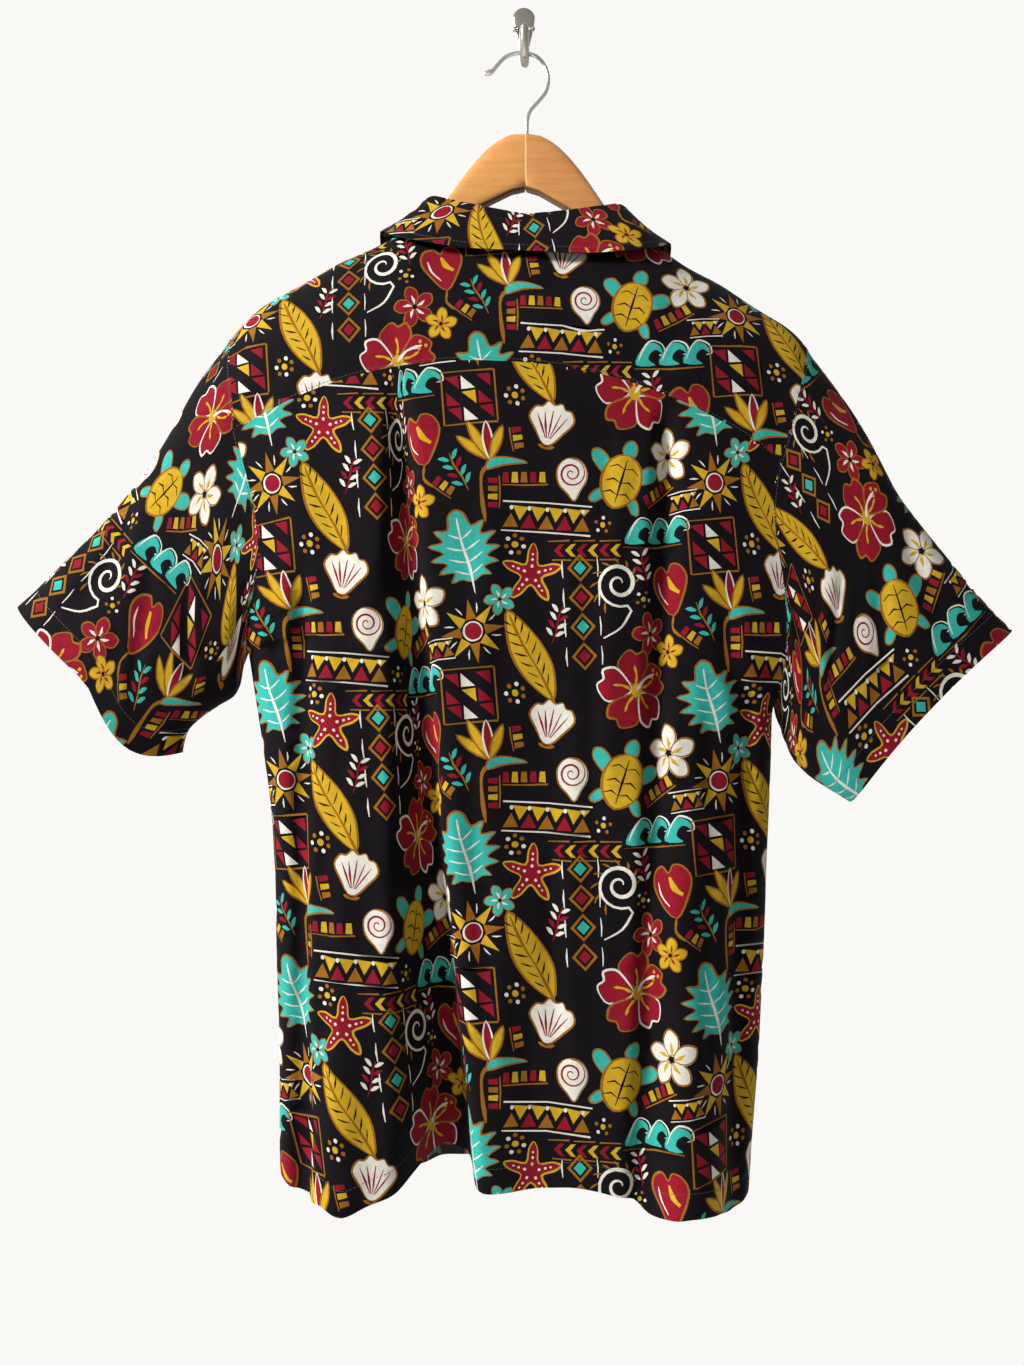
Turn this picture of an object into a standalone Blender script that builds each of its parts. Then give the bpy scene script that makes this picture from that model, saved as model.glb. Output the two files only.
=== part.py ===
"""A hawaiian shirt on a wooden hanger, which hangs by its wire hook from a wall hook.

Metres, +Z up. The wall is the plane Y = 0 and the room lies towards -Y. The shirt shows its
back to the room, its buttoned fronts face the wall. The origin is on the back face of the
wall hook's plate. "Left" is -X, which is also the wearer's left.

Each piece of cloth is a wall of even thickness. Its outer side is a grid of points, rows from
top to bottom and columns along the threads, worked out from the tables below. Neighbouring
pieces share the points of their seam and then stop half a seam gap short of it.
"""
import math

import bmesh
import bpy
import numpy as np
from mathutils import Vector


def table(names, *rows):
    """Named columns, each an array with one number a row."""
    return dict(zip(names.split(), np.array(rows, float).T))


# ---------------------------------------------------------------- driving sizes
CLOTH = 0.002  # thickness of each wall of cloth
SEAM_GAP = 0.0003  # between two pieces that are sewn together
TILT = math.tan(math.radians(2.4))  # the hanger leans down to the right
MIDDLE_X = 0.001  # middle of the hanger
COLLAR_X = 0.001  # middle of the neck
HANG_Y = -0.044  # plane of the wire hook
SWEEP = 0.007  # how far the hanger's ends lie behind that plane

# The hanger's outline at a distance from its middle. The last row is cloth past its end.
HANGER = table(
    "out top bottom thick",
    (0.000, -0.1008, -0.1447, 0.0140),
    (0.012, -0.1025, -0.1508, 0.0140),
    (0.027, -0.1110, -0.1588, 0.0140),
    (0.044, -0.1285, -0.1680, 0.0135),
    (0.0625, -0.1540, -0.1800, 0.0125),
    (0.075, -0.1722, -0.1900, 0.0120),
    (0.088, -0.1863, -0.2015, 0.0100),
    (0.110, -0.2013, -0.2170, 0.0115),
    (0.160, -0.2271, -0.2430, 0.0120),
    (0.200, -0.2503, -0.2655, 0.0100),
    (0.2275, -0.2688, -0.2780, 0.0080),
    (0.242, -0.2860, -0.2920, 0.0080),
)
HANGER_END = 0.2275
RIDGE_LIFT = 0.0086  # the cloth's outer side over the hanger's top edge
NECK_HALF = 0.0905  # from the middle of the neck to its side
NECK_DEEP = 0.055  # from the back of the neck's edge to its front, over the shoulder
NECK_SQUARE = 0.42  # 1 is a round neck, less has squarer corners
NECK_ANGLE = 37  # how far round the shoulder the back of the neck lies

# Armholes: top and pit, the depth of the pit, and how far the seam bows towards the middle.
ARMHOLES = {
    -1: dict(top_x=-0.242, pit=(-0.2248, -0.056, -0.529), seam_z=-0.354,
             bow=0.0200, bow_at=110, bow_wide=36),
    1: dict(top_x=0.234, pit=(0.2035, -0.056, -0.573), seam_z=-0.378,
            bow=0.0230, bow_at=82, bow_wide=30),
}
ARMHOLE_BACK = -0.037  # how far the back and front of an armhole stand off its middle
ARMHOLE_FRONT = 0.0175
FRONT_BOW = 0.012
BOW_POWER = 2.7  # 2 makes a section of the body an ellipse, more makes it squarer
BACK_REACH, FRONT_REACH = 48, 50  # how far round a section turns at the top of an armhole

# Side seams below the armpits, by height.
SIDES = table(
    "z left right y",
    (-0.964, -0.1980, 0.1820, -0.057),
    (-0.870, -0.1985, 0.1885, -0.057),
    (-0.780, -0.2013, 0.1935, -0.057),
    (-0.700, -0.2035, 0.1965, -0.057),
    (-0.620, -0.2105, 0.1998, -0.057),
    (-0.529, -0.2248, 0.2035, -0.056),
)
HEM_Z = -0.957
HEM_SIDE_Z = {-1: -0.951, 1: -0.964}  # the hem at the side seams, where the shirt hangs askew

# Depth of the back's middle, by height, and the height of the yoke seam's middle.
BACK_DEPTH = table(
    "z y",
    (-0.960, -0.098),
    (-0.750, -0.100),
    (-0.550, -0.099),
    (-0.400, -0.095),
    (-0.302, -0.088),
)
YOKE_MIDDLE_Z = -0.302
YOKE_SIDE_Z = -0.366  # the height of the seam's ends, between the two sides
LIFT_BELOW = -0.750  # from here down the rows of the back run level
YOKE_FRONT_STEP = 0.0055  # the yoke's front edge lies this far inside the front
YOKE_FRONT_DROP = 0.035  # and falls this far below the shoulder, times 1 - cosine
FRONT_Y = {-1: -0.0205, 1: -0.0231}  # the left front buttons over the right one
OVERLAP = 0.015
NECKLINE_TURN = 0.004  # the front bends back beside the neck

# Folds of the back: a trough sinks from its start to the hem, a ridge has a negative depth.
# "lean" moves its bottom sideways, so that one edge hangs over; "square" makes it steeper.
BACK_FOLDS = table(
    "start_x start_z end_x start_wide end_wide start_deep end_deep lean square",
    (-0.177, -0.450, -0.177, 0.0075, 0.0085, 0.006, 0.017, 0.15, 3.0),
    (-0.122, -0.520, -0.124, 0.0190, 0.0190, 0.003, 0.010, 0.00, 2.0),
    (-0.102, -0.306, -0.068, 0.0085, 0.0230, 0.008, 0.050, 0.24, 3.4),
    (0.012, -0.400, 0.012, 0.0260, 0.0240, 0.003, 0.007, 0.00, 2.0),
    (0.113, -0.315, 0.094, 0.0080, 0.0140, 0.008, 0.013, -0.12, 2.6),
    (0.176, -0.540, 0.162, 0.0080, 0.0100, 0.007, 0.013, 0.12, 2.6),
    (-0.115, -0.560, -0.138, 0.0440, 0.0420, -0.003, -0.026, 0.00, 2.0),
    (0.110, -0.560, 0.130, 0.0400, 0.0400, -0.003, -0.030, 0.00, 2.0),
)
# How far the hem of the back rises, by place across it, and how far up that reaches.
HEM_RISE = table(
    "x up",
    (-0.200, 0.0000),
    (-0.176, -0.0120),
    (-0.160, -0.0020),
    (-0.141, -0.0080),
    (-0.120, -0.0020),
    (-0.100, 0.0060),
    (-0.088, 0.0115),
    (-0.068, 0.0140),
    (-0.049, 0.0070),
    (-0.030, 0.0030),
    (0.000, 0.0045),
    (0.019, 0.0060),
    (0.041, 0.0095),
    (0.066, 0.0070),
    (0.083, 0.0030),
    (0.097, -0.0065),
    (0.112, 0.0010),
    (0.129, 0.0060),
    (0.149, 0.0020),
    (0.163, -0.0110),
    (0.174, -0.0090),
    (0.190, 0.0000),
)
HEM_REACH = 0.15
HEM_LIFT = 0.2  # a fold draws the hem up by this share of its depth
FRONT_FOLDS = table(
    "start_x start_z end_x start_wide end_wide start_deep end_deep lean square",
    (-0.150, -0.400, -0.158, 0.0110, 0.0120, 0.004, 0.022, 0.10, 2.6),
    (-0.070, -0.460, -0.088, 0.0120, 0.0130, 0.003, 0.020, -0.10, 2.6),
    (0.080, -0.430, 0.066, 0.0120, 0.0130, 0.003, 0.021, 0.12, 2.6),
    (0.140, -0.420, 0.136, 0.0110, 0.0120, 0.004, 0.023, -0.10, 2.6),
)
FOLD_START = 0.09  # share of a fold's length over which it sets in
HELD_EDGE = 12  # the higher, the closer to its side seams a panel keeps its folds

# Sleeves: upper and under edge as seen from behind, middle depth and half depth.
SLEEVES = {
    -1: table(
        "t top_x top_z under_x under_z y half",
        (0.00, -0.2420, -0.2680, -0.2248, -0.5290, -0.0455, 0.0270),
        (0.14, -0.2650, -0.3030, -0.2300, -0.5440, -0.0480, 0.0280),
        (0.33, -0.2905, -0.3515, -0.2343, -0.5630, -0.0520, 0.0285),
        (0.50, -0.3195, -0.3955, -0.2480, -0.5735, -0.0550, 0.0280),
        (0.66, -0.3480, -0.4310, -0.2640, -0.5835, -0.0570, 0.0270),
        (0.82, -0.3815, -0.4640, -0.2750, -0.5940, -0.0585, 0.0255),
        (1.00, -0.4110, -0.4930, -0.2785, -0.6119, -0.0590, 0.0240),
    ),
    1: table(
        "t top_x top_z under_x under_z y half",
        (0.00, 0.2340, -0.2790, 0.2035, -0.5730, -0.0455, 0.0270),
        (0.14, 0.2560, -0.3130, 0.2085, -0.5885, -0.0480, 0.0280),
        (0.33, 0.2835, -0.3590, 0.2130, -0.6030, -0.0520, 0.0285),
        (0.50, 0.3090, -0.4060, 0.2200, -0.6180, -0.0550, 0.0280),
        (0.66, 0.3350, -0.4420, 0.2310, -0.6300, -0.0570, 0.0270),
        (0.82, 0.3660, -0.4800, 0.2450, -0.6405, -0.0585, 0.0255),
        (1.00, 0.3955, -0.5120, 0.2646, -0.6519, -0.0590, 0.0240),
    ),
}
SLEEVE_SQUARE = 0.85  # 1 makes a section of the sleeve an ellipse, less makes it squarer
CUFF_BULGE = {-1: (0.004, 0.042), 1: (-0.010, -0.002)}  # at its middle, and more below it

# Collar, from the middle of the back (0) round the side of the neck (0.75) to the lapel (1):
# the middle of its roll and the edge of its fall.
COLLAR = table(
    "q roll_x roll_y roll_z edge_x edge_y edge_z",
    (0.00, 0.0000, -0.0640, -0.1800, 0.0000, -0.0800, -0.2130),
    (0.25, 0.0340, -0.0625, -0.1745, 0.0450, -0.0792, -0.2125),
    (0.50, 0.0665, -0.0570, -0.1665, 0.0860, -0.0765, -0.2070),
    (0.58, 0.0755, -0.0548, -0.1645, 0.0970, -0.0728, -0.2040),
    (0.66, 0.0820, -0.0480, -0.1655, 0.1090, -0.0655, -0.1990),
    (0.75, 0.0825, -0.0345, -0.1740, 0.1190, -0.0475, -0.1900),
    (0.835, 0.0740, -0.0250, -0.1950, 0.1210, -0.0235, -0.2045),
    (0.915, 0.0610, -0.0215, -0.2180, 0.1150, -0.0165, -0.2300),
    (1.00, 0.0480, -0.0195, -0.2460, 0.1000, -0.0155, -0.2520),
)
COLLAR_ROLL = 0.0022  # radius inside the collar's fold
COLLAR_TILT = 0.043  # it leans down to the right more than the hanger
COLLAR_BELLY = 0.002  # how far its fall arches outwards
COLLAR_STAND = 0.55  # where the row below its roll lies, from the neck seam up
COLLAR_FLAT = 0.80  # from here to its ends the collar turns to lie on the fronts

# Inner edge of each front: the neckline down to the break, then the buttoned edge.
NECKLINE = table(
    "row out z",
    (0, 0.0905, -0.1900),
    (1, 0.0770, -0.2060),
    (2, 0.0640, -0.2270),
    (3, 0.0505, -0.2500),
    (4, 0.0345, -0.2770),
    (5, 0.0160, -0.3050),
    (6, -0.0150, -0.3350),
    (7, -0.0150, -0.3820),
    (8, -0.0150, -0.4320),
    (9, -0.0150, -0.4850),
    (10, -0.0150, -0.5400),
)
GORGE_ROW = 3  # the collar ends here and the lapel starts
LAPELS = {-1: (3, 4, 5, 6), 1: (3, 4, 5)}  # rows of the front that carry a lapel
LAPEL_WIDTHS = (0.050, 0.040, 0.024, 0.006)
LAPEL_ROOT = ((0.0000, 0.0000), (0.0007, 0.0008), (0.0000, 0.0016))  # in front of it, above it
LAPEL_SPREAD = ((0.35, 0.0026), (0.70, 0.0030), (1.00, 0.0026))  # share of its width, height

BUTTON_TOP = -0.352
BUTTON_STEP = 0.112
BUTTON_COUNT = 5
BUTTON_RADIUS = 0.00575
BUTTON_THICK = 0.0024

# ---------------------------------------------------------------- grid sizes
COLUMNS = 48  # threads across the back and the yoke
SHOULDER = 15  # of which this many lie over each shoulder
YOKE_ANGLES = (-55, -27, 0, 15, 32, 50, 70, 90)  # round the shoulder, front to back
BACK_UPPER = 7  # rows beside the armhole
BODY_ROWS = 12  # rows below the armpit
FRONT_ANGLES = (38, 54, 70, 86, 102, 118, 134, 150, 165, 180)
SLEEVE_ROWS = 8
FINE = 400  # points a section is measured with
ARMHOLE_PULL = 2.5  # a sleeve's folds turn into the body, so it is drawn in further there


# ---------------------------------------------------------------- curves
def lerp(a, b, t):
    return a + (b - a) * t


def smooth(t):
    t = np.clip(t, 0, 1)
    return t * t * (3 - 2 * t)


def read(rows, name, by, at):
    """A column of a table at any place between its rows, as a smooth curve without overshoot."""
    x, y = rows[by], rows[name]
    at = np.clip(at, x[0], x[-1])
    slope = np.diff(y) / np.diff(x)
    inner = np.where(slope[:-1] * slope[1:] > 0, (slope[:-1] + slope[1:]) / 2, 0)
    limit = 3 * np.minimum(abs(slope[:-1]), abs(slope[1:]))
    ends = np.concatenate([slope[:1], np.clip(inner, -limit, limit), slope[-1:]])
    i = np.clip(np.searchsorted(x, at, side="right") - 1, 0, len(x) - 2)
    h = x[i + 1] - x[i]
    t = (at - x[i]) / h
    bend = ends[i] * h * t * (1 - t) ** 2 - ends[i + 1] * h * t * t * (1 - t)
    return y[i] * (1 + 2 * t) * (1 - t) ** 2 + y[i + 1] * t * t * (3 - 2 * t) + bend


def spaced(points, count):
    """count + 1 points at even steps along a line of many points."""
    steps = np.linalg.norm(np.diff(points, axis=0), axis=1)
    run = np.concatenate([[0], np.cumsum(steps)])
    at = np.linspace(0, run[-1], count + 1)
    return np.stack([np.interp(at, run, points[:, k]) for k in range(3)], axis=1)


def along(points, distance):
    """The point at a distance from the start of a line of many points."""
    steps = np.linalg.norm(np.diff(points, axis=0), axis=1)
    run = np.concatenate([[0], np.cumsum(steps)])
    return np.array([np.interp(distance, run, points[:, k]) for k in range(3)])


# ---------------------------------------------------------------- the body of the shirt
def hanger_top(x):
    return read(HANGER, "top", "out", abs(x - MIDDLE_X)) - (x - MIDDLE_X) * TILT


def ridge(x):
    """The top line of the cloth over the hanger, carried on level across the neck."""
    out = np.maximum(abs(x - MIDDLE_X), NECK_HALF)
    z = read(HANGER, "top", "out", out) - (x - MIDDLE_X) * TILT + RIDGE_LIFT
    y = HANG_Y + SWEEP * (out / HANGER_END) ** 2
    return np.stack([x + 0 * z, y, z], axis=-1)


def armhole(side, degrees, front):
    """A point of the armhole seam: 0 at the shoulder, 180 at the pit."""
    hole = ARMHOLES[side]
    top, pit = ridge(hole["top_x"]), np.array(hole["pit"])
    a = math.radians(degrees)
    down = (1 - math.cos(a)) / 2
    point = lerp(top, pit, down)
    at, wide, bow = (90, 40, FRONT_BOW) if front else (
        hole["bow_at"], hole["bow_wide"], hole["bow"])
    point[0] -= side * bow * math.exp(-(((degrees - at) / wide) ** 2)) * math.sin(a) ** 0.5
    point[1] += (ARMHOLE_FRONT if front else ARMHOLE_BACK) * math.sin(a) ** 0.8
    return point


def side_seam(side, share):
    """A point of the side seam: 0 at the armpit, 1 at the hem."""
    z = lerp(ARMHOLES[side]["pit"][2], HEM_SIDE_Z[side], share)
    x = read(SIDES, "left" if side < 0 else "right", "z", z)
    return np.array([x, read(SIDES, "y", "z", z), z])


def fold_depth(folds, x, z):
    """How far the folds push a surface in at x, z, and how far sideways."""
    depth, sideways = np.zeros_like(x), np.zeros_like(x)
    for row in zip(*folds.values()):
        f = dict(zip(folds, row))
        share = np.clip((f["start_z"] - z) / (f["start_z"] - HEM_Z), 0, 1)
        middle = lerp(f["start_x"], f["end_x"], share)
        wide = lerp(f["start_wide"], f["end_wide"], share)
        deep = lerp(f["start_deep"], f["end_deep"], share ** 1.2)
        deep = deep * smooth(share / FOLD_START)
        push = deep * np.exp(-(abs((x - middle) / wide) ** f["square"]))
        depth += push
        sideways += f["lean"] * push
    return depth, sideways


def bow_section(left, right, middle_y, reach, lift):
    """A section from one edge point to the other that bows out to middle_y. reach is 90
    where its ends turn square into the other side of the shirt, and less beside an armhole."""
    angle = np.radians(np.linspace(-reach, reach, FINE))
    p, end = 2 / BOW_POWER, math.radians(reach)
    across = np.sign(angle) * (abs(np.sin(angle)) / math.sin(end)) ** p
    floor = max(math.cos(end), 0) ** p
    bow = (np.clip(np.cos(angle), 0, 1) ** p - floor) / (1 - floor)
    share = (across + 1) / 2
    points = left + (right - left) * share[:, None]
    points[:, 1] += (middle_y - points[:, 1]) * bow
    points[:, 2] += lift * (1 - abs(across) ** 2.2)
    return points, 1 - abs(across) ** HELD_EDGE


def back_section(row):
    """The back at one of its rows, 0 at the yoke seam."""
    if row <= BACK_UPPER:
        share = row / BACK_UPPER
        ends = []
        for side in (-1, 1):
            top, pit = ridge(ARMHOLES[side]["top_x"])[2], ARMHOLES[side]["pit"][2]
            start = math.acos(2 * (ARMHOLES[side]["seam_z"] - pit) / (top - pit) - 1)
            ends.append(armhole(side, lerp(math.degrees(start), 180, share), False))
        reach = lerp(BACK_REACH, 90, smooth(share) ** 1.5)
    else:
        share = (row - BACK_UPPER) / BODY_ROWS
        ends = [side_seam(side, share) for side in (-1, 1)]
        reach = 90
    level = (ends[0][2] + ends[1][2]) / 2
    lift = (YOKE_MIDDLE_Z - YOKE_SIDE_Z) * smooth(
        (level - LIFT_BELOW) / (YOKE_SIDE_Z - LIFT_BELOW))
    middle_y = read(BACK_DEPTH, "y", "z", level + lift)
    points, loose = bow_section(ends[0], ends[1], middle_y, reach, lift)
    depth, sideways = fold_depth(BACK_FOLDS, points[:, 0], points[:, 2])
    if row == 0:
        loose = 0 * loose
    points[:, 0] += sideways * loose
    points[:, 1] += depth * loose
    low = smooth((HEM_Z + HEM_REACH - points[:, 2]) / HEM_REACH)
    points[:, 2] += (HEM_LIFT * depth + read(HEM_RISE, "up", "x", points[:, 0])) * loose * low
    return points


def front_section(side, row):
    """A front at one of its rows, from its outer edge to its inner one; 1 is the first
    row below the shoulder seam."""
    upper = len(FRONT_ANGLES)
    if row <= upper:
        outer = armhole(side, FRONT_ANGLES[row - 1], True)
        out = read(NECKLINE, "out", "row", row)
        inner_z = read(NECKLINE, "z", "row", row)
        reach = lerp(FRONT_REACH, 90, smooth(row / upper) ** 2)
    else:
        share = (row - upper) / BODY_ROWS
        outer = side_seam(side, share)
        out = -OVERLAP
        inner_z = lerp(NECKLINE["z"][-1], HEM_Z, share)
        reach = 90
    inner = np.array([COLLAR_X + side * out, FRONT_Y[side], inner_z])
    inner[1] -= NECKLINE_TURN * smooth((out - 0.01) / 0.06)
    p, end = 2 / BOW_POWER, math.radians(reach)
    angle = np.linspace(end, 0, FINE)
    across = (np.sin(angle) / math.sin(end)) ** p
    floor = max(math.cos(end), 0) ** p
    turn = (1 - np.clip(np.cos(angle), 0, 1) ** p) / (1 - floor)
    points = inner + (outer - inner) * across[:, None]
    points[:, 1] = lerp(inner[1], outer[1], turn)
    depth, sideways = fold_depth(FRONT_FOLDS, points[:, 0], points[:, 2])
    loose = 1 - across ** HELD_EDGE
    points[:, 0] += sideways * loose
    points[:, 1] -= depth * loose
    return points


def arch(share, degrees, seam):
    """A point of the yoke: share across it, and degrees round the shoulder from the ridge,
    90 at the yoke seam on the back and negative on the front."""
    edges = [ARMHOLES[side]["top_x"] for side in (-1, 1)]
    top = ridge(np.array(lerp(edges[0], edges[1], share)))
    run = (seam[:, 0] - seam[0, 0]) / (seam[-1, 0] - seam[0, 0])
    base = np.array([np.interp(share, run, seam[:, k]) for k in range(3)])
    a = math.radians(degrees)
    if degrees >= 0:
        return np.array([
            lerp(top[0], base[0], 1 - math.cos(a)),
            lerp(top[1], base[1], math.sin(a)),
            lerp(top[2], base[2], 1 - math.cos(a)),
        ])
    deep = FRONT_Y[-1] - YOKE_FRONT_STEP - top[1]
    return top + np.array([0, deep * math.sin(-a), -YOKE_FRONT_DROP * (1 - math.cos(a))])


def neck_edge(count):
    """The neck's edge in even steps: -1 to 1 across it, and 0 to 1 from front to back."""
    a = np.linspace(-math.pi / 2, math.pi / 2, FINE)
    across = np.sign(a) * abs(np.sin(a)) ** NECK_SQUARE * NECK_HALF
    deep = np.clip(np.cos(a), 0, 1) ** NECK_SQUARE * NECK_DEEP
    line = spaced(np.stack([across, deep, 0 * a], axis=1), count)
    return line[:, 0] / NECK_HALF, line[:, 1] / NECK_DEEP


def body_panels():
    """Grids of points for the back, the yoke and the two fronts."""
    rows = BACK_UPPER + BODY_ROWS
    back = np.array([spaced(back_section(row), COLUMNS) for row in range(rows + 1)])

    seam = back_section(0)
    run = (back[0, :, 0] - back[0, 0, 0]) / (back[0, -1, 0] - back[0, 0, 0])
    edges = [ARMHOLES[side]["top_x"] for side in (-1, 1)]
    neck = [(COLLAR_X + s * NECK_HALF - edges[0]) / (edges[1] - edges[0]) for s in (-1, 1)]
    yoke = np.zeros((len(YOKE_ANGLES), COLUMNS + 1, 3))
    right = COLUMNS - SHOULDER
    across, deep = neck_edge(right - SHOULDER)
    for j in range(COLUMNS + 1):
        if j <= SHOULDER:
            top_share, top_angle = lerp(0, neck[0], j / SHOULDER), YOKE_ANGLES[0]
        elif j >= right:
            top_share, top_angle = lerp(neck[1], 1, (j - right) / SHOULDER), YOKE_ANGLES[0]
        else:
            top_share = lerp(neck[0], neck[1], (across[j - SHOULDER] + 1) / 2)
            top_angle = lerp(YOKE_ANGLES[0], NECK_ANGLE, deep[j - SHOULDER])
        for i, angle in enumerate(YOKE_ANGLES):
            if top_angle == YOKE_ANGLES[0]:
                down = (angle - YOKE_ANGLES[0]) / (90 - YOKE_ANGLES[0])
            else:
                down = i / (len(YOKE_ANGLES) - 1)
            yoke[i, j] = arch(lerp(top_share, run[j], smooth(down)),
                              lerp(top_angle, 90, down), seam)
    yoke[-1] = back[0]

    fronts = {}
    for side in (-1, 1):
        count = len(FRONT_ANGLES) + BODY_ROWS
        shoulder = yoke[0, :SHOULDER + 1] if side < 0 else yoke[0, ::-1][:SHOULDER + 1]
        lower = [spaced(front_section(side, row), SHOULDER) for row in range(1, count + 1)]
        front = np.array([shoulder, *lower])
        front[len(FRONT_ANGLES):, 0] = back[BACK_UPPER:, 0 if side < 0 else -1]
        fronts[side] = front
    return back, yoke, fronts


# ---------------------------------------------------------------- sleeves and collar
def sleeve_rings(side, back, yoke, front):
    """Rings of a sleeve from the armhole to the cuff, each from the pit up the back."""
    edge = 0 if side < 0 else -1
    upper = len(FRONT_ANGLES)
    behind = np.concatenate([back[BACK_UPPER:0:-1, edge], yoke[:0:-1, edge]])
    ahead = np.concatenate([yoke[:1, edge], front[1:upper, 0]])
    ring = np.concatenate([behind, ahead])
    top = len(behind) - list(YOKE_ANGLES[1:]).index(0) - 1
    closed = np.concatenate([ring, ring[:1]])
    steps = np.concatenate([[0], np.cumsum(np.linalg.norm(np.diff(closed, axis=0), axis=1))])
    turn = np.interp(steps[:-1], [0, steps[top], steps[-1]], [np.pi, 0, -np.pi])
    flat = np.sign(np.cos(turn)) * abs(np.cos(turn)) ** SLEEVE_SQUARE
    deep = np.sign(np.sin(turn)) * abs(np.sin(turn)) ** SLEEVE_SQUARE

    def section(t):
        shape = SLEEVES[side]
        top_x, top_z, low_x, low_z, y, half = (
            read(shape, name, "t", t)
            for name in ("top_x", "top_z", "under_x", "under_z", "y", "half"))
        across = np.array([top_x - low_x, 0, top_z - low_z])
        middle = np.array([(top_x + low_x) / 2, y, (top_z + low_z) / 2])
        axis = np.array([side * across[2], 0, -side * across[0]])
        axis /= np.linalg.norm(axis)
        middle_bulge, low_bulge = CUFF_BULGE[side]
        low = np.clip(-flat, 0, 1)
        bulge = t ** 2 * (middle_bulge * (1 - flat ** 2) + low_bulge * low * (1 - low ** 3))
        return (middle + across / 2 * flat[:, None]
                - np.array([0, half, 0]) * deep[:, None] + axis * bulge[:, None])

    start = ring - section(0)
    return np.array([section(i / SLEEVE_ROWS) + start * (1 - i / SLEEVE_ROWS) ** 2
                     for i in range(SLEEVE_ROWS + 1)])


def collar_grid(yoke, fronts):
    """Under side of the collar: rows from the neck seam over the roll to the fall's edge."""
    neck = yoke[0, SHOULDER:COLUMNS - SHOULDER + 1]
    left = fronts[-1][GORGE_ROW:0:-1, -1]
    right = fronts[1][1:GORGE_ROW + 1, -1]
    seam = np.concatenate([left, neck, right])
    half = (len(seam) - 1) / 2
    station = (np.arange(len(seam)) - half) / half
    side, q = np.sign(station), abs(station)

    def point(name):
        x = COLLAR_X + side * read(COLLAR, name + "_x", "q", q)
        z = read(COLLAR, name + "_z", "q", q) - x * COLLAR_TILT
        return np.stack([x, read(COLLAR, name + "_y", "q", q), z], axis=1)

    roll, edge = point("roll"), point("edge")
    out = edge - roll
    out[:, 2] *= smooth((q - COLLAR_FLAT) / (1 - COLLAR_FLAT))
    out /= np.linalg.norm(out, axis=1)[:, None]
    fall = (edge - roll) / np.linalg.norm(edge - roll, axis=1)[:, None]
    over = -(fall - out * (fall * out).sum(axis=1)[:, None])
    over[q > (COLLAR_FLAT + 1) / 2] = (0, 1, 0)
    over /= np.maximum(np.linalg.norm(over, axis=1), 1e-6)[:, None]
    inside = roll - out * COLLAR_ROLL
    outside = roll + out * COLLAR_ROLL
    crown = roll + over * COLLAR_ROLL
    middle = lerp(outside, edge, 0.5) + over * COLLAR_BELLY
    return np.array([seam, lerp(seam, inside, COLLAR_STAND), inside, crown, outside, middle, edge])


def lapel_grid(side):
    """Under side of a lapel: columns from its root at the neckline out over the front."""
    grid = []
    for row, width in zip(LAPELS[side], LAPEL_WIDTHS):
        line = front_section(side, row)[::-1]
        root = line[0]
        out = along(line, CLOTH) - root
        out /= np.linalg.norm(out)
        lift = np.array([0, 1, 0])
        points = [root - out * ahead + lift * up for ahead, up in LAPEL_ROOT]
        points += [along(line, width * s) + lift * up for s, up in LAPEL_SPREAD]
        grid.append(points)
    return np.array(grid)


# ---------------------------------------------------------------- walls of cloth
def grid_faces(rows, columns, ring):
    """Corner numbers of a grid's quads; ring joins the last column to the first."""
    last = columns if ring else columns - 1
    return [(i * columns + j, i * columns + (j + 1) % columns,
             (i + 1) * columns + (j + 1) % columns, (i + 1) * columns + j)
            for i in range(rows - 1) for j in range(last)]


def split(faces, points):
    """Two triangles for each quad, cut along its shorter diagonal."""
    out = []
    for a, b, c, d in faces:
        if np.linalg.norm(points[a] - points[c]) <= np.linalg.norm(points[b] - points[d]):
            out += [(a, b, c), (a, c, d)]
        else:
            out += [(a, b, d), (b, c, d)]
    return out


def shared_normals(panels):
    """One normal for each point, the same on both sides of a seam."""
    sums, keys = {}, {}
    for name, (grid, ring, flip) in panels.items():
        points = grid.reshape(-1, 3)
        keys[name] = [tuple(np.round(p / 1e-5).astype(int)) for p in points]
        for face in grid_faces(*grid.shape[:2], ring):
            a, b, c, d = points[list(face)]
            normal = np.cross(c - a, d - b) * (-1 if flip else 1)
            normal /= max(np.linalg.norm(normal), 1e-12)
            for corner in face:
                key = keys[name][corner]
                sums[key] = sums.get(key, 0) + normal
    return {name: np.array([sums[k] / np.linalg.norm(sums[k]) for k in keys[name]]
                           ).reshape(panels[name][0].shape) for name in panels}


def pull_in(grid, ring):
    """Moves each edge of the grid half a seam gap towards its next row of points, and the
    armhole of a sleeve further, as its folds turn it into the body."""
    moved = grid.copy()

    def step(edge, following):
        way = following - edge
        return way / np.linalg.norm(way, axis=-1, keepdims=True) * SEAM_GAP / 2

    moved[0] += step(grid[0], grid[1]) * (ARMHOLE_PULL if ring else 1)
    moved[-1] += step(grid[-1], grid[-2])
    if not ring:
        moved[:, 0] += step(grid[:, 0], grid[:, 1])
        moved[:, -1] += step(grid[:, -1], grid[:, -2])
    return moved


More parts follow.
